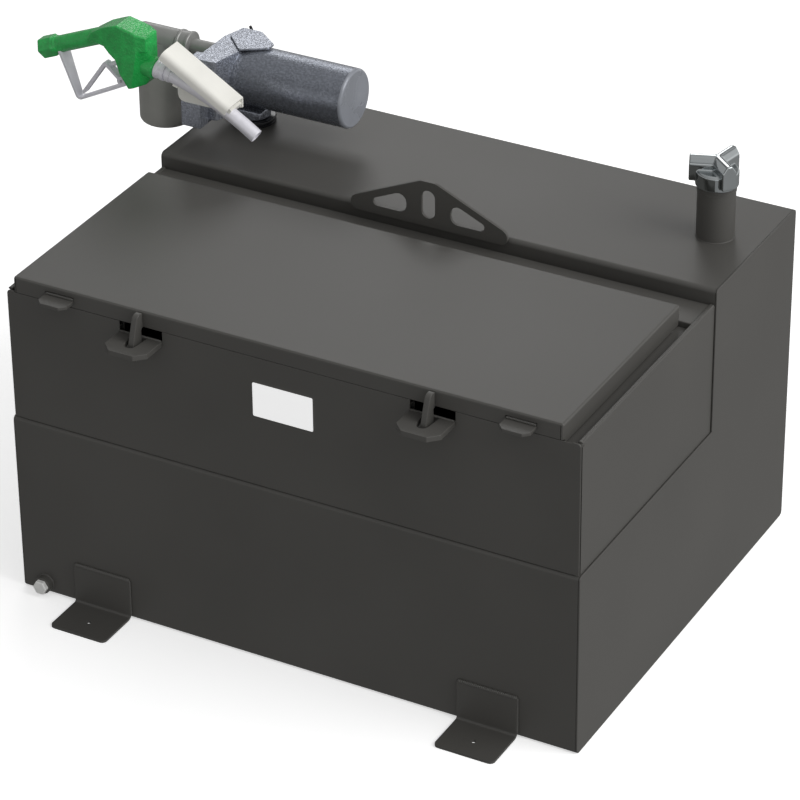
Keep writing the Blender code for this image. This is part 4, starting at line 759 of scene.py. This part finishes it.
    def pick(self, part: Part, test: Callable[[Vector, Vector], bool]) -> int:
        """Selects in edit mode what passes a test.

        Args:
            part: Whether corners or edges are tested.
            test: Takes the middle of each, and its normal or direction.

        Returns:
            How many were selected.
        """
        self.take()
        bpy.ops.object.mode_set(mode="EDIT")
        bpy.ops.mesh.select_mode(type=part.value)
        bpy.ops.mesh.select_all(action="DESELECT")
        mesh = bmesh.from_edit_mesh(self.piece.data)
        found = 0
        for item, middle, way in self._places(mesh, part):
            if test(middle, way):
                item.select_set(True)
                found += 1
        mesh.select_flush_mode()
        bmesh.update_edit_mesh(self.piece.data)
        return found

    @staticmethod
    def _places(mesh: bmesh.types.BMesh, part: Part) -> list[tuple[Any, Vector, Vector]]:
        """Lists a mesh's corners or edges.

        Args:
            mesh: The mesh.
            part: Which of the two.

        Returns:
            Each with its middle, and its normal or direction.
        """
        if part is Part.CORNERS:
            return [(corner, corner.co, corner.normal) for corner in mesh.verts]
        ends = ((edge, edge.verts[0].co, edge.verts[1].co) for edge in mesh.edges)
        return [(edge, (a + b) / 2, (b - a).normalized()) for edge, a, b in ends]

    def dress(self, finish: Finish, body: str, *nodes: str) -> None:
        """Gives the piece its finish, its body and the nodes that it stands for.

        Args:
            finish: The finish all over it.
            body: The body that it rides on.
            *nodes: The nodes that it replaces.
        """
        self.clear()
        self.piece.data.materials.clear()
        self.piece.data.materials.append(finish.material())
        if nodes:
            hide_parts(*nodes)
        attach(self.piece, body)
        LOG.info("%s rides on %s", self.piece.name, body)


def refined(node: str, name: str, finish: Finish, body: str, edge: float) -> None:
    """Makes a piece that is a node with its edges rounded."""
    Bench.copy_of(node, name).soften(edge).smooth().dress(finish, body, node)


def plain(finish: Finish, *nodes: str) -> None:
    """Gives nodes that stay as they are a finish.

    Args:
        finish: The finish.
        *nodes: The nodes' names.
    """
    for node in nodes:
        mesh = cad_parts[node].data
        mesh.materials.clear()
        mesh.materials.append(finish.material())
        LOG.info("%s stays as it is", node)


def arc(centre: tuple[float, float], radius: float, start: float, end: float, steps: int = 5) -> Profile:
    """Gives a lathe profile's points on a round, from one angle in degrees to another.

    Args:
        centre: The round's (radius, height) centre.
        radius: The round's own radius.
        start: The first angle, with 0 outwards and 90 up the axis.
        end: The last angle.
        steps: How many pieces the round has.

    Returns:
        The (radius, height) points.
    """
    angles = [math.radians(start + (end - start) * i / steps) for i in range(steps + 1)]
    return [(centre[0] + radius * math.cos(a), centre[1] + radius * math.sin(a)) for a in angles]


def rod(radius: float, length: float, edge: float) -> Profile:
    """Gives the lathe profile of a rod with the edges cut off its ends."""
    side = [(radius - edge, 0), (radius, edge), (radius, length - edge), (radius - edge, length)]
    return [(0, 0), *side, (0, length)]


def weld(body: str, *beads: Bench) -> None:
    """Finishes weld beads under the tank's powder coat.

    Args:
        body: The body that they ride on.
        *beads: The beads.
    """
    for bead in beads:
        bead.smooth(ROUND).dress(POWDER, body)


def weld_pair(name: str, centres: tuple[float, float], half: float, line: tuple[float, float],
              radius: float, body: str) -> None:
    """Lays one bead along a piece at the left and one along its like at the right.

    Args:
        name: The beads' name.
        centres: The two pieces' places along the tank.
        half: Half of a bead's length.
        line: The beads' place across the tank and their height.
        radius: A bead's radius.
        body: The body that they ride on.
    """
    left, right = centres
    first = Bench.bead(name + "_left", (left - half, *line), (left + half, *line), radius)
    weld(body, first, first.twin(name + "_right", (right - left, 0, 0)))


def weld_ring(name: str, seat: tuple[float, float], bead: float, centre: Place, axis: Place,
              steps: int = 72) -> None:
    """Lays a bead round a tube's foot.

    Args:
        name: The bead's name.
        seat: How far its middle is from the axis and from the centre's height.
        bead: Its radius.
        centre: The middle of the tube's foot.
        axis: The direction of the tube.
        steps: How many faces go round.
    """
    weld("tank", Bench.turned(name, arc(seat, bead, 0, 360, 10), centre, axis, steps))


# Sub-assemblies


@dataclass
class Tank:
    """The welded tank: skin, ends, baffles inside, feet and lifting plate."""

    edge: float = 0.9 * MM
    feet: tuple[tuple[float, int], ...] = ((-0.361, -1), (0.361, -1), (-0.361, 1), (0.361, 1))
    foot_width: float = 107 * MM
    foot_low: float = 8 * MM
    foot_top: float = 75.6 * MM
    foot_toe: float = 486.3 * MM
    foot_corner: float = 9 * MM
    wall: float = 401.6 * MM
    bead: float = 3.6 * MM
    side_bead: float = 2.16 * MM
    plate_half: float = 146 * MM
    plate_line: tuple[float, float] = (85.4 * MM, 599.5 * MM)

    def build(self) -> None:
        """Makes every piece."""
        for node in ("tank_wrapper", "tank_end_left", "tank_end_right", "lifting_plate"):
            refined(node, node + "_finished", POWDER, "tank", self.edge)
        plain(POWDER, "surge_baffle_1", "surge_baffle_2")
        self.build_feet()
        self.weld_feet()
        self.weld_lifting_plate()

    def build_feet(self) -> None:
        """Makes the four feet, with rounded toes."""
        for node in ("foot_front_left", "foot_front_right", "foot_rear_left", "foot_rear_right"):
            foot = Bench.copy_of(node, node + "_finished")
            foot.ease(self.foot_corner, 6, lambda m, d: abs(d.z) > ALONG and abs(m.y) > self.foot_toe - NEAR)
            foot.soften(self.edge, 3).smooth().dress(POWDER, "tank", node)

    def weld_feet(self) -> None:
        """Lays the beads along the top and the sides of each foot's upright leaf."""
        first_x = self.feet[0][0]
        near, far = first_x - self.foot_width / 2, first_x + self.foot_width / 2
        line, low, high = -self.wall, self.foot_low, self.foot_top
        top = Bench.bead("foot_bead_top_1", (near, line, high), (far, line, high), self.bead)
        left = Bench.bead("foot_bead_left_1", (near, line, low), (near, line, high), self.side_bead)
        right = left.twin("foot_bead_right_1", (self.foot_width, 0, 0))
        beads = [top, left, right]
        for count, (x, side) in enumerate(self.feet[1:], 2):
            shift = (x - first_x, (1 + side) * self.wall, 0)
            for bench, name in ((top, "top"), (left, "left"), (right, "right")):
                beads.append(bench.twin(f"foot_bead_{name}_{count}", shift))
        weld("tank", *beads)

    def weld_lifting_plate(self) -> None:
        """Lays the bead behind the lifting plate's foot."""
        start, end = (-self.plate_half, *self.plate_line), (self.plate_half, *self.plate_line)
        weld("tank", Bench.bead("lifting_plate_bead", start, end, self.bead))


@dataclass
class Drain:
    """The drain's coupling and its six-sided plug at the tank's foot."""

    place: Place = (-0.476, -0.4003, 0.020)
    coupling: float = 15 * MM
    coupling_length: float = 13.5 * MM
    plug: float = 13.2 * MM
    plug_start: float = 2.7 * MM
    plug_length: float = 24 * MM
    plug_edge: float = 0.7 * MM
    edge: float = 1.2 * MM
    bead: float = 1.8 * MM
    bead_seat: float = 0.3 * MM

    def build(self) -> None:
        """Makes the coupling with its weld, and the plug."""
        outwards = (0, -1, 0)
        outer, length, edge = self.coupling, self.coupling_length, self.edge
        profile = [(0, 0), (outer, 0), (outer, length - edge), (outer - edge, length), (0, length)]
        socket = Bench.turned("drain_socket", profile, self.place, outwards, 64)
        socket.smooth().dress(POWDER, "tank", "drain_coupling")
        weld_ring("drain_weld", (outer + self.bead_seat, 0), self.bead, self.place, outwards, 48)
        x, y, z = self.place
        outer, length = self.plug, self.plug_length
        profile = [(0, 0), (outer, 0), (outer, length - edge), (outer - 1.4 * edge, length), (0, length)]
        hexagon = Bench.turned("drain_hexagon", profile, (x, y + self.plug_start, z), outwards, 6)
        hexagon.soften(self.plug_edge, 3, 25.0).smooth().dress(BRIGHT, "tank", "drain_plug")


@dataclass
class Filler:
    """The filler neck with its collar and weld, and the screwed cap."""

    edge: float = 0.8 * MM
    cap_grain: float = 0.75 * MM
    cap_rounds: int = 26
    middle: Place = (0.439, 0.254, 0.6)
    neck: float = 32 * MM
    neck_inside: float = 31.5 * MM
    collar: float = 0.9 * MM
    collar_low: float = 84 * MM
    collar_width: float = 4 * MM
    bead: float = 1.3 * MM
    bead_seat: float = 0.4 * MM

    def build(self) -> None:
        """Makes the neck, its rings and the cap."""
        upwards = (0, 0, 1)
        refined("filler_neck", "filler_neck_finished", POWDER, "tank", self.edge)
        plain(RUBBER, "cap_gasket")
        weld_ring("filler_neck_weld", (self.neck, self.bead_seat), self.bead, self.middle, upwards)
        inner, outer = self.neck_inside, self.neck + self.collar
        low, high = self.collar_low, self.collar_low + self.collar_width
        profile = [(inner, low), (outer, low + self.collar), (outer, high), (inner, high + self.collar),
                   (inner, low)]
        Bench.turned("filler_neck_band", profile, self.middle, upwards).smooth().dress(POWDER, "tank")
        cap = Bench.copy_of("filler_cap", "filler_cap_finished")
        cap.cast(self.cap_grain, self.cap_rounds).dress(CHROME, "cap", "filler_cap")


@dataclass
class Toolbox:
    """The toolbox in the tank's step: shell, opening, rims, rear deck, padlock plates and name plate."""

    edge: float = 0.9 * MM
    name_plate_edge: float = 0.4 * MM
    corner_inner: float = 503.2 * MM
    corner_outer: float = 516.95 * MM
    corner_low: float = 335.4 * MM
    corner_high: float = 573.4 * MM
    side_high: float = 566.0 * MM
    side_edge: float = 0.5 * MM
    corner_round: float = 7 * MM
    corner_edge: float = 1.6 * MM
    corner_back: float = -383.9 * MM
    corner_front: float = -398.0 * MM
    gap_front: float = -396.2 * MM
    gap_back: float = -392.4 * MM
    plates: tuple[float, float] = (-0.263, 0.263)
    plate_half: float = 38 * MM
    plate_line: tuple[float, float] = (-398.6 * MM, 554.3 * MM)
    notch_half: float = 39.5 * MM
    notch_front: float = -410 * MM
    notch_back: float = -370 * MM
    notch_low: float = 540 * MM
    notch_high: float = 571.5 * MM
    bead: float = 2.0 * MM

    def build(self) -> None:
        """Makes every piece."""
        for node in ("toolbox_shell", "rear_deck", "hasp_plate_left", "hasp_plate_right", "hinge_leaf_deck"):
            refined(node, node + "_finished", POWDER, "tank", self.edge)
        self.build_opening()
        self.build_rims()
        refined("name_plate", "name_plate_finished", PLATE, "tank", self.name_plate_edge)
        plain(STEEL, "hinge_pin")
        self.fold_corners()
        weld_pair("hasp_plate_bead", self.plates, self.plate_half, self.plate_line, self.bead, "tank")

    def build_opening(self) -> None:
        """Makes the opening's frame, with a notch behind each padlock plate."""
        opening = Bench.copy_of("opening_frame", "opening_frame_finished")
        for x in self.plates:
            low = (x - self.notch_half, self.notch_front, self.notch_low)
            high = (x + self.notch_half, self.notch_back, self.notch_high)
            opening.cut(Bench.block("notch", low, high))
        opening.soften(self.edge).smooth().dress(POWDER, "tank", "opening_frame")

    def build_rims(self) -> None:
        """Makes the side rims, drawn forward to the gap at the front corners."""
        for node in ("rim_left", "rim_right"):
            rim = Bench.copy_of(node, node + "_finished")
            rim.pick(Part.CORNERS, lambda m, d: m.y < self.corner_back + NEAR)
            bpy.ops.transform.translate(value=(0, self.gap_back - self.corner_back, 0))
            rim.soften(self.edge).smooth().dress(POWDER, "tank", node)

    def fold_corners(self) -> None:
        """Makes each front corner's folded edge: a front strip, a fine gap, and the side's edge behind."""
        for side, name in ((1, "right"), (-1, "left")):
            inner, outer = sorted((side * self.corner_inner, side * self.corner_outer))
            front = Bench.block("corner_front_" + name, (inner, self.corner_front, self.corner_low),
                                (outer, self.gap_front, self.corner_high))
            front.ease(self.corner_round, 8, lambda m, d: abs(d.y) > ALONG and m.z > self.corner_high - NEAR
                       and side * m.x > self.corner_outer - NEAR)
            front.ease(self.corner_edge, 4, lambda m, d: abs(d.y) < 0.5 and m.y < self.corner_front + NEAR
                       and side * m.x > self.corner_inner + NEAR)
            back = Bench.block("corner_side_" + name, (inner, self.gap_back, self.corner_low),
                               (outer, self.corner_back, self.side_high))
            back.ease(self.side_edge, 2,
                      lambda m, d: abs(d.z) > ALONG and side * m.x > self.corner_outer - NEAR)
            for strip in (front, back):
                strip.smooth().dress(POWDER, "tank")


@dataclass
class Lid:
    """The toolbox lid with its ribs, seal, tabs, fins and hinge leaf."""

    edge: float = 0.9 * MM
    slits: tuple[float, float] = (-498.4 * MM, 482.4 * MM)
    slit_half: float = 0.65 * MM
    slit_low: tuple[float, float] = (-401 * MM, 560 * MM)
    slit_high: tuple[float, float] = (-394 * MM, 597.6 * MM)
    tabs: tuple[float, float] = (-0.415, 0.415)
    tab_half: float = 26 * MM
    tab_line: tuple[float, float] = (-397.6 * MM, 586.6 * MM)
    bead: float = 2.6 * MM

    def build(self) -> None:
        """Makes every piece."""
        self.build_panel()
        for node in ("lid_rib_left", "lid_rib_right", "hinge_leaf_lid", "lift_tab_left", "lift_tab_right",
                     "hasp_fin_left", "hasp_fin_right"):
            refined(node, node + "_finished", POWDER, "lid", self.edge)
        plain(RUBBER, "lid_seal")
        weld_pair("lift_tab_bead", self.tabs, self.tab_half, self.tab_line, self.bead, "lid")

    def build_panel(self) -> None:
        """Makes the folded panel, with the slit that each front corner's folds leave open."""
        panel = Bench.copy_of("lid_panel", "lid_panel_finished").soften(self.edge, 3)
        for x in self.slits:
            low, high = x - self.slit_half, x + self.slit_half
            panel.cut(Bench.block("slit", (low, *self.slit_low), (high, *self.slit_high)))
        panel.smooth().dress(POWDER, "lid", "lid_panel")


@dataclass
class Pump:
    """The pump on its bung: housing, rotor cover, motor, wiring cover and switch."""

    edge: float = 1.4 * MM
    wiring_edge: float = 0.9 * MM
    motor_start: Place = (-0.4405, 0.262, 0.688)
    motor_length: float = 203 * MM
    motor: float = 52.5 * MM
    end_round: float = 5.5 * MM
    joint: float = 0.2 * MM
    dish: float = 0.5 * MM
    dish_edge: float = 1.2 * MM
    bung_foot: Place = (-0.440, 0.265, 0.6003)
    bung: float = 38 * MM
    bung_height: float = 11.4 * MM
    bung_round: float = 2 * MM
    groove: float = 1.6 * MM

    def build(self) -> None:
        """Makes every piece."""
        self.build_bung()
        refined("pump_housing", "pump_housing_finished", HAMMERED, "tank", self.edge)
        refined("rotor_cover", "rotor_cover_finished", HAMMERED, "tank", self.edge)
        refined("wiring_cover", "wiring_cover_finished", HAMMERED, "tank", self.wiring_edge)
        self.build_motor()
        plain(BLACK, "suction_tube", "switch_boss", "switch_lever")

    def build_motor(self) -> None:
        """Turns the motor's drum, and its rounded end with a slightly sunk face."""
        outer, end = self.motor, self.motor_length
        rim, seat = outer - self.end_round, end - self.end_round
        face = rim - self.dish_edge
        stop = seat - self.joint
        drum = [(0, 0), (outer, 0), (outer, end / 2), (outer, stop), (face, stop), (0, stop)]
        shell = Bench.turned("motor_drum", drum, self.motor_start, (1, 0, 0), 96)
        shell.smooth().dress(DRUM, "tank", "motor_housing")
        start = seat - self.joint / 2
        cap = [(0, start), (outer, start), *arc((rim, seat), self.end_round, 0, 90, 8)]
        cap += [(face, end - self.dish), (0, end - self.dish)]
        bell = Bench.turned("motor_end", cap, self.motor_start, (1, 0, 0), 96)
        # the end takes the lighter copy of the blue grey: painted light where it faces the right-hand lamp
        bell.smooth(50.0).dress(LIT_SMOOTH_END, "tank", "motor_end_bell")

    def build_bung(self) -> None:
        """Turns the grooved ring that the pump is screwed into."""
        outer, height, lip = self.bung, self.bung_height, self.bung_round
        inner = outer - self.groove
        profile = [(0, 0), (inner, 0), (outer, self.groove), (outer, height * 0.36), (inner, height * 0.44),
                   (inner, height * 0.56), (outer, height * 0.64)]
        profile += [*arc((outer - lip, height - lip), lip, 0, 90), (0, height)]
        ring = Bench.turned("bung_ring", profile, self.bung_foot, (0, 0, 1))
        ring.smooth().dress(BLACK, "tank", "tank_bung")


@dataclass
class OutletAndFilter:
    """The outlet pipe, its coupling, the filter's head and its spin-on can."""

    edge: float = 1.4 * MM
    can_foot: Place = (-0.616, 0.262, 0.565)
    can: float = 49 * MM
    can_height: float = 110 * MM
    can_round: float = 9 * MM
    can_dish: float = 2.4 * MM
    seam: float = 0.8 * MM
    seam_low: float = 7 * MM
    seam_middle: float = 3.6 * MM
    seam_round: float = 2 * MM
    seam_top: float = 3 * MM
    pipe_start: Place = (-0.570, 0.262, 0.717)
    pipe: float = 13.35 * MM
    pipe_length: float = 60.7 * MM
    coupling_start: Place = (-0.583, 0.262, 0.717)
    coupling: float = 25 * MM
    coupling_length: float = 25 * MM
    band: float = 5 * MM
    band_rise: float = 1.4 * MM
    chamfer: float = 1.2 * MM

    def build(self) -> None:
        """Makes every piece."""
        refined("filter_head", "filter_head_finished", PIPE, "tank", self.edge)
        self.build_can()
        pipe = rod(self.pipe, self.pipe_length, self.chamfer)
        Bench.turned("outlet_pipe", pipe, self.pipe_start, (1, 0, 0)).smooth().dress(
            PIPE, "tank", "outlet_nipple")
        self.build_coupling()

    def build_can(self) -> None:
        """Turns the spin-on can: rounded foot, drawn side and rolled seam under the head."""
        outer, side, top = self.can, self.can - self.seam, self.can_height
        foot = self.can_round
        profile = [(0, self.can_dish), (outer - 2 * foot, self.can_dish), (outer - 1.7 * foot, 0)]
        profile += [*arc((side - foot, foot), foot, -90, 0, 7), (side, top - self.seam_low)]
        profile += arc((outer - self.seam_round, top - self.seam_middle), self.seam_round, -60, 60, 6)
        profile += [(outer - self.seam_top, top), (0, top)]
        can = Bench.turned("filter_can", profile, self.can_foot, (0, 0, 1), 96)
        can.smooth().dress(CAN, "tank", "filter_canister")

    def build_coupling(self) -> None:
        """Turns the coupling, with a raised band at each end."""
        outer, length, band, chamfer = self.coupling, self.coupling_length, self.band, self.chamfer
        inner = outer - self.band_rise
        ends = rod(outer, length, chamfer)
        waist = [(outer, band), (inner, band + chamfer), (inner, length - band - chamfer),
                 (outer, length - band)]
        ring = Bench.turned("outlet_band", ends[:3] + waist + ends[3:], self.coupling_start, (1, 0, 0))
        ring.smooth().dress(PIPE, "tank", "outlet_coupling")


@dataclass
class Holster:
    """The cream holster that the nozzle's spout rests in."""

    edge: float = 1.0 * MM

    def build(self) -> None:
        """Makes the holster."""
        holster = Bench.copy_of("nozzle_holster", "holster_finished")
        holster.soften(self.edge, 4).smooth().dress(CREAM, "tank", "nozzle_holster")


@dataclass
class Nozzle:
    """The nozzle: cast body, spout and its fittings, guard, lever, pin and valve stem."""

    grain: float = 1.1 * MM
    rounds: int = 6
    thin: float = 0.5 * MM
    spout_start: Place = (-0.545, 0.1227, 0.7365)
    knee: Place = (90 * MM, 0, -12.5 * MM)
    tip: Place = (194 * MM, 0, -83.5 * MM)
    spout: float = 12.5 * MM
    spout_wall: float = 1.6 * MM
    flank: Place = (-0.5692, 0.0977, 0.7688)
    flank_way: Place = (0.631, -0.766, -0.1216)
    flank_top: float = 3 * MM
    wedge_half: float = 0.15
    wedge_depth: float = 0.2
    wedge_clear: float = 0.4
    bore_mouth: Place = (-0.6617, 0.1227, 0.71232)
    bore: float = 4.9 * MM
    bore_depth: float = 78 * MM
    stem_tilt: float = math.radians(25)
    boss: float = 19.5 * MM
    boss_length: float = 33 * MM
    boss_round: float = 3 * MM
    collar: float = 16 * MM
    collar_length: float = 20 * MM
    ridge: float = 1.0 * MM
    ferrule: float = 14 * MM
    ferrule_span: tuple[float, float] = (0.118, 0.168)

    def build(self) -> None:
        """Makes every piece."""
        self.build_body()
        self.build_spout()
        self.build_boss()
        self.build_fittings()
        refined("trigger_guard", "trigger_guard_finished", SILVER, "tank", self.thin)
        refined("trigger_lever", "trigger_lever_finished", SILVER, "trigger", self.thin)
        plain(SILVER, "valve_stem")
        plain(STEEL, "trigger_pin")

    def build_body(self) -> None:
        """Casts the body, with a slanted flank beside the holster and the valve stem's bore."""
        body = Bench.copy_of("nozzle_body", "nozzle_body_finished")
        half, clear = self.wedge_half, self.wedge_clear
        wedge = Bench.block("wedge", (-half, -half, 0.0), (half, half, self.wedge_depth))
        wedge.stand(self.flank, self.flank_way)
        x, y, z = self.flank
        above = Bench.block("above", (x - clear, y - clear, z + self.flank_top),
                            (x + clear, y + clear, z + clear))
        body.cut(wedge.cut(above))
        way = (math.cos(self.stem_tilt), 0.0, math.sin(self.stem_tilt))
        hole = [(0, 0), (self.bore, 0), (self.bore, self.bore_depth), (0, self.bore_depth)]
        bore = Bench.turned("bore", hole, self.bore_mouth, way, 32)
        body.cast(self.grain, self.rounds).cut(bore).dress(GREEN, "tank", "nozzle_body")

    def path(self) -> tuple[Vector, Vector, Vector]:
        """Gives the start, the knee and the tip that the spout's middle line bends between."""
        start = Vector(self.spout_start)
        return start, start + Vector(self.knee), start + Vector(self.tip)

    def point(self, share: float) -> Vector:
        """Gives the point of the spout's middle line at a share of its length."""
        start, knee, tip = self.path()
        return start.lerp(knee, share).lerp(knee.lerp(tip, share), share)

    def heading(self, share: float) -> Vector:
        """Gives the spout's direction over its first share."""
        return (self.point(share) - self.point(0)).normalized()

    def build_spout(self) -> None:
        """Sweeps the spout's tube and opens it at the tip."""
        start, knee, tip = self.path()
        points = (start, start.lerp(knee, 2 / 3), tip.lerp(knee, 2 / 3), tip)
        tube = Bench.tube("spout_tube", points, self.spout, 16)
        tube.walled(self.spout_wall).soften(self.thin, 2, 60.0).smooth(50.0).dress(SILVER, "tank", "spout")

    def build_boss(self) -> None:
        """Turns the round boss that the spout is screwed into, out of the body's side."""
        way = self.heading(0.02)
        foot = Vector(self.spout_start) - way * self.boss_length
        outer, length, lip = self.boss, self.boss_length, self.boss_round
        profile = [(0, 0), (outer - lip, 0), (outer, length / 2)]
        profile += [*arc((outer - lip, length - lip), lip, 0, 90), (0, length)]
        Bench.turned("spout_boss", profile, tuple(foot), tuple(way)).smooth(50.0).dress(GREEN, "tank")

    def build_fittings(self) -> None:
        """Turns the ridged collar and the ferrule on the spout."""
        outer, length, ridge = self.collar, self.collar_length, self.ridge
        ends = rod(outer, length, ridge)
        waist = [(outer, length * 0.3), (outer - ridge, length * 0.36), (outer - ridge, length * 0.62),
                 (outer, length * 0.68)]
        collar = Bench.turned("spout_collar_ring", ends[:3] + waist + ends[3:], self.spout_start,
                              tuple(self.heading(0.04)))
        collar.smooth().dress(SILVER, "tank", "spout_collar")
        low, high = (self.point(share) for share in self.ferrule_span)
        ring = rod(self.ferrule, (high - low).length, ridge)
        ferrule = Bench.turned("spout_ferrule_ring", ring, tuple(low), tuple(high - low))
        ferrule.smooth().dress(SILVER, "tank", "spout_ferrule")


# Studio


@dataclass(frozen=True)
class Lamp:
    """A square lamp: where it hangs, what it lights, how wide it is and its power in watts."""

    name: str
    place: Place
    aim: Place
    side: float
    power: float

    def hang(self) -> None:
        """Hangs the lamp, turned to what it lights."""
        light = bpy.data.lights.new(self.name, "AREA")
        light.size = self.side
        light.energy = self.power
        lamp = bpy.data.objects.new(self.name, light)
        bpy.context.scene.collection.objects.link(lamp)
        lamp.location = self.place
        lamp.rotation_euler = (Vector(self.aim) - Vector(self.place)).to_track_quat("-Z", "Y").to_euler()


@dataclass
class Studio:
    """The floor, the light and the camera, which stands where the photograph was taken from."""

    floor_side: float = 20.0
    place: Place = (2.6957825, -4.9228319, 3.6579455)
    azimuth: float = 28.819086
    elevation: float = 30.909305
    roll: float = -0.589886
    lens: float = 175.9317
    reach: float = 100.0
    lamps: tuple[Lamp, ...] = (
        Lamp("overhead", (0.5, 1.5, 9.0), (0.0, 0.0, 0.4), 7.0, 20.0),
        Lamp("right side", (8.0, 0.5, 6.5), (0.0, 0.0, 0.4), 6.0, 500.0),
        Lamp("back left", (-4.4, 7.8, 5.6), (0.0, 0.0, 0.5), 3.0, 80.0))
    lean: float = 0.4
    room: tuple[tuple[float, float], ...] = (
        (0.0, 0.22), (0.38, 0.28), (0.5, 0.66), (0.61, 0.72), (0.68, 0.27), (0.76, 0.27), (0.84, 0.52),
        (1.0, 0.42))

    def build(self) -> None:
        """Makes all of it."""
        self.lay_floor()
        self.paint_room()
        for lamp in self.lamps:
            lamp.hang()
        self.set_camera()

    def lay_floor(self) -> None:
        """Lays the pale floor under the feet."""
        Bench.clear()
        bpy.ops.mesh.primitive_plane_add(size=self.floor_side)
        floor = bpy.context.object
        floor.name = "studio_floor"
        floor.location.z = CAD_BOX[0].z
        floor.data.materials.append(FLOOR.material())
        floor.visible_diffuse = False
        floor.visible_glossy = False

    def paint_room(self) -> None:
        """Paints the room in greys from below to overhead, a little brighter to the right."""
        world = bpy.data.worlds.new("pale room")
        world.use_nodes = True
        nodes = Nodes(world.node_tree)
        way = nodes.result("ShaderNodeTexCoord", {}, {}, "Generated")
        split = nodes.node("ShaderNodeSeparateXYZ", {}, {0: way})
        across, height = (Shade(nodes, split.outputs[axis]) for axis in ("X", "Z"))
        greys = nodes.result("ShaderNodeValToRGB", {"stops": self.room}, {0: 0.5 * height + 0.5})
        room = world.node_tree.nodes["Background"]
        nodes.feed(room, {"Color": greys, "Strength": self.lean * across + 1.0})
        bpy.context.scene.world = world
        view = bpy.context.scene.view_settings
        view.view_transform = "Standard"
        view.look = "None"

    def set_camera(self) -> None:
        """Sets up the camera."""
        lens = bpy.data.cameras.new("photograph")
        lens.lens = self.lens
        lens.clip_end = self.reach
        camera = bpy.data.objects.new("photograph", lens)
        bpy.context.scene.collection.objects.link(camera)
        turn = Matrix.Rotation(math.radians(self.azimuth), 4, "Z")
        tip = Matrix.Rotation(math.radians(90.0 - self.elevation), 4, "X")
        roll = Matrix.Rotation(math.radians(self.roll), 4, "Z")
        camera.matrix_world = Matrix.Translation(self.place) @ turn @ tip @ roll
        bpy.context.scene.camera = camera


def main() -> None:
    """Builds the studio and every sub-assembly in order."""
    logging.basicConfig(level=logging.INFO, format="%(message)s")
    for part in (Studio(), Tank(), Drain(), Filler(), Toolbox(), Lid(), Pump(), OutletAndFilter(), Holster(),
                 Nozzle()):
        part.build()
        LOG.info("built: %s", type(part).__name__)


if __name__ == "__main__":
    main()
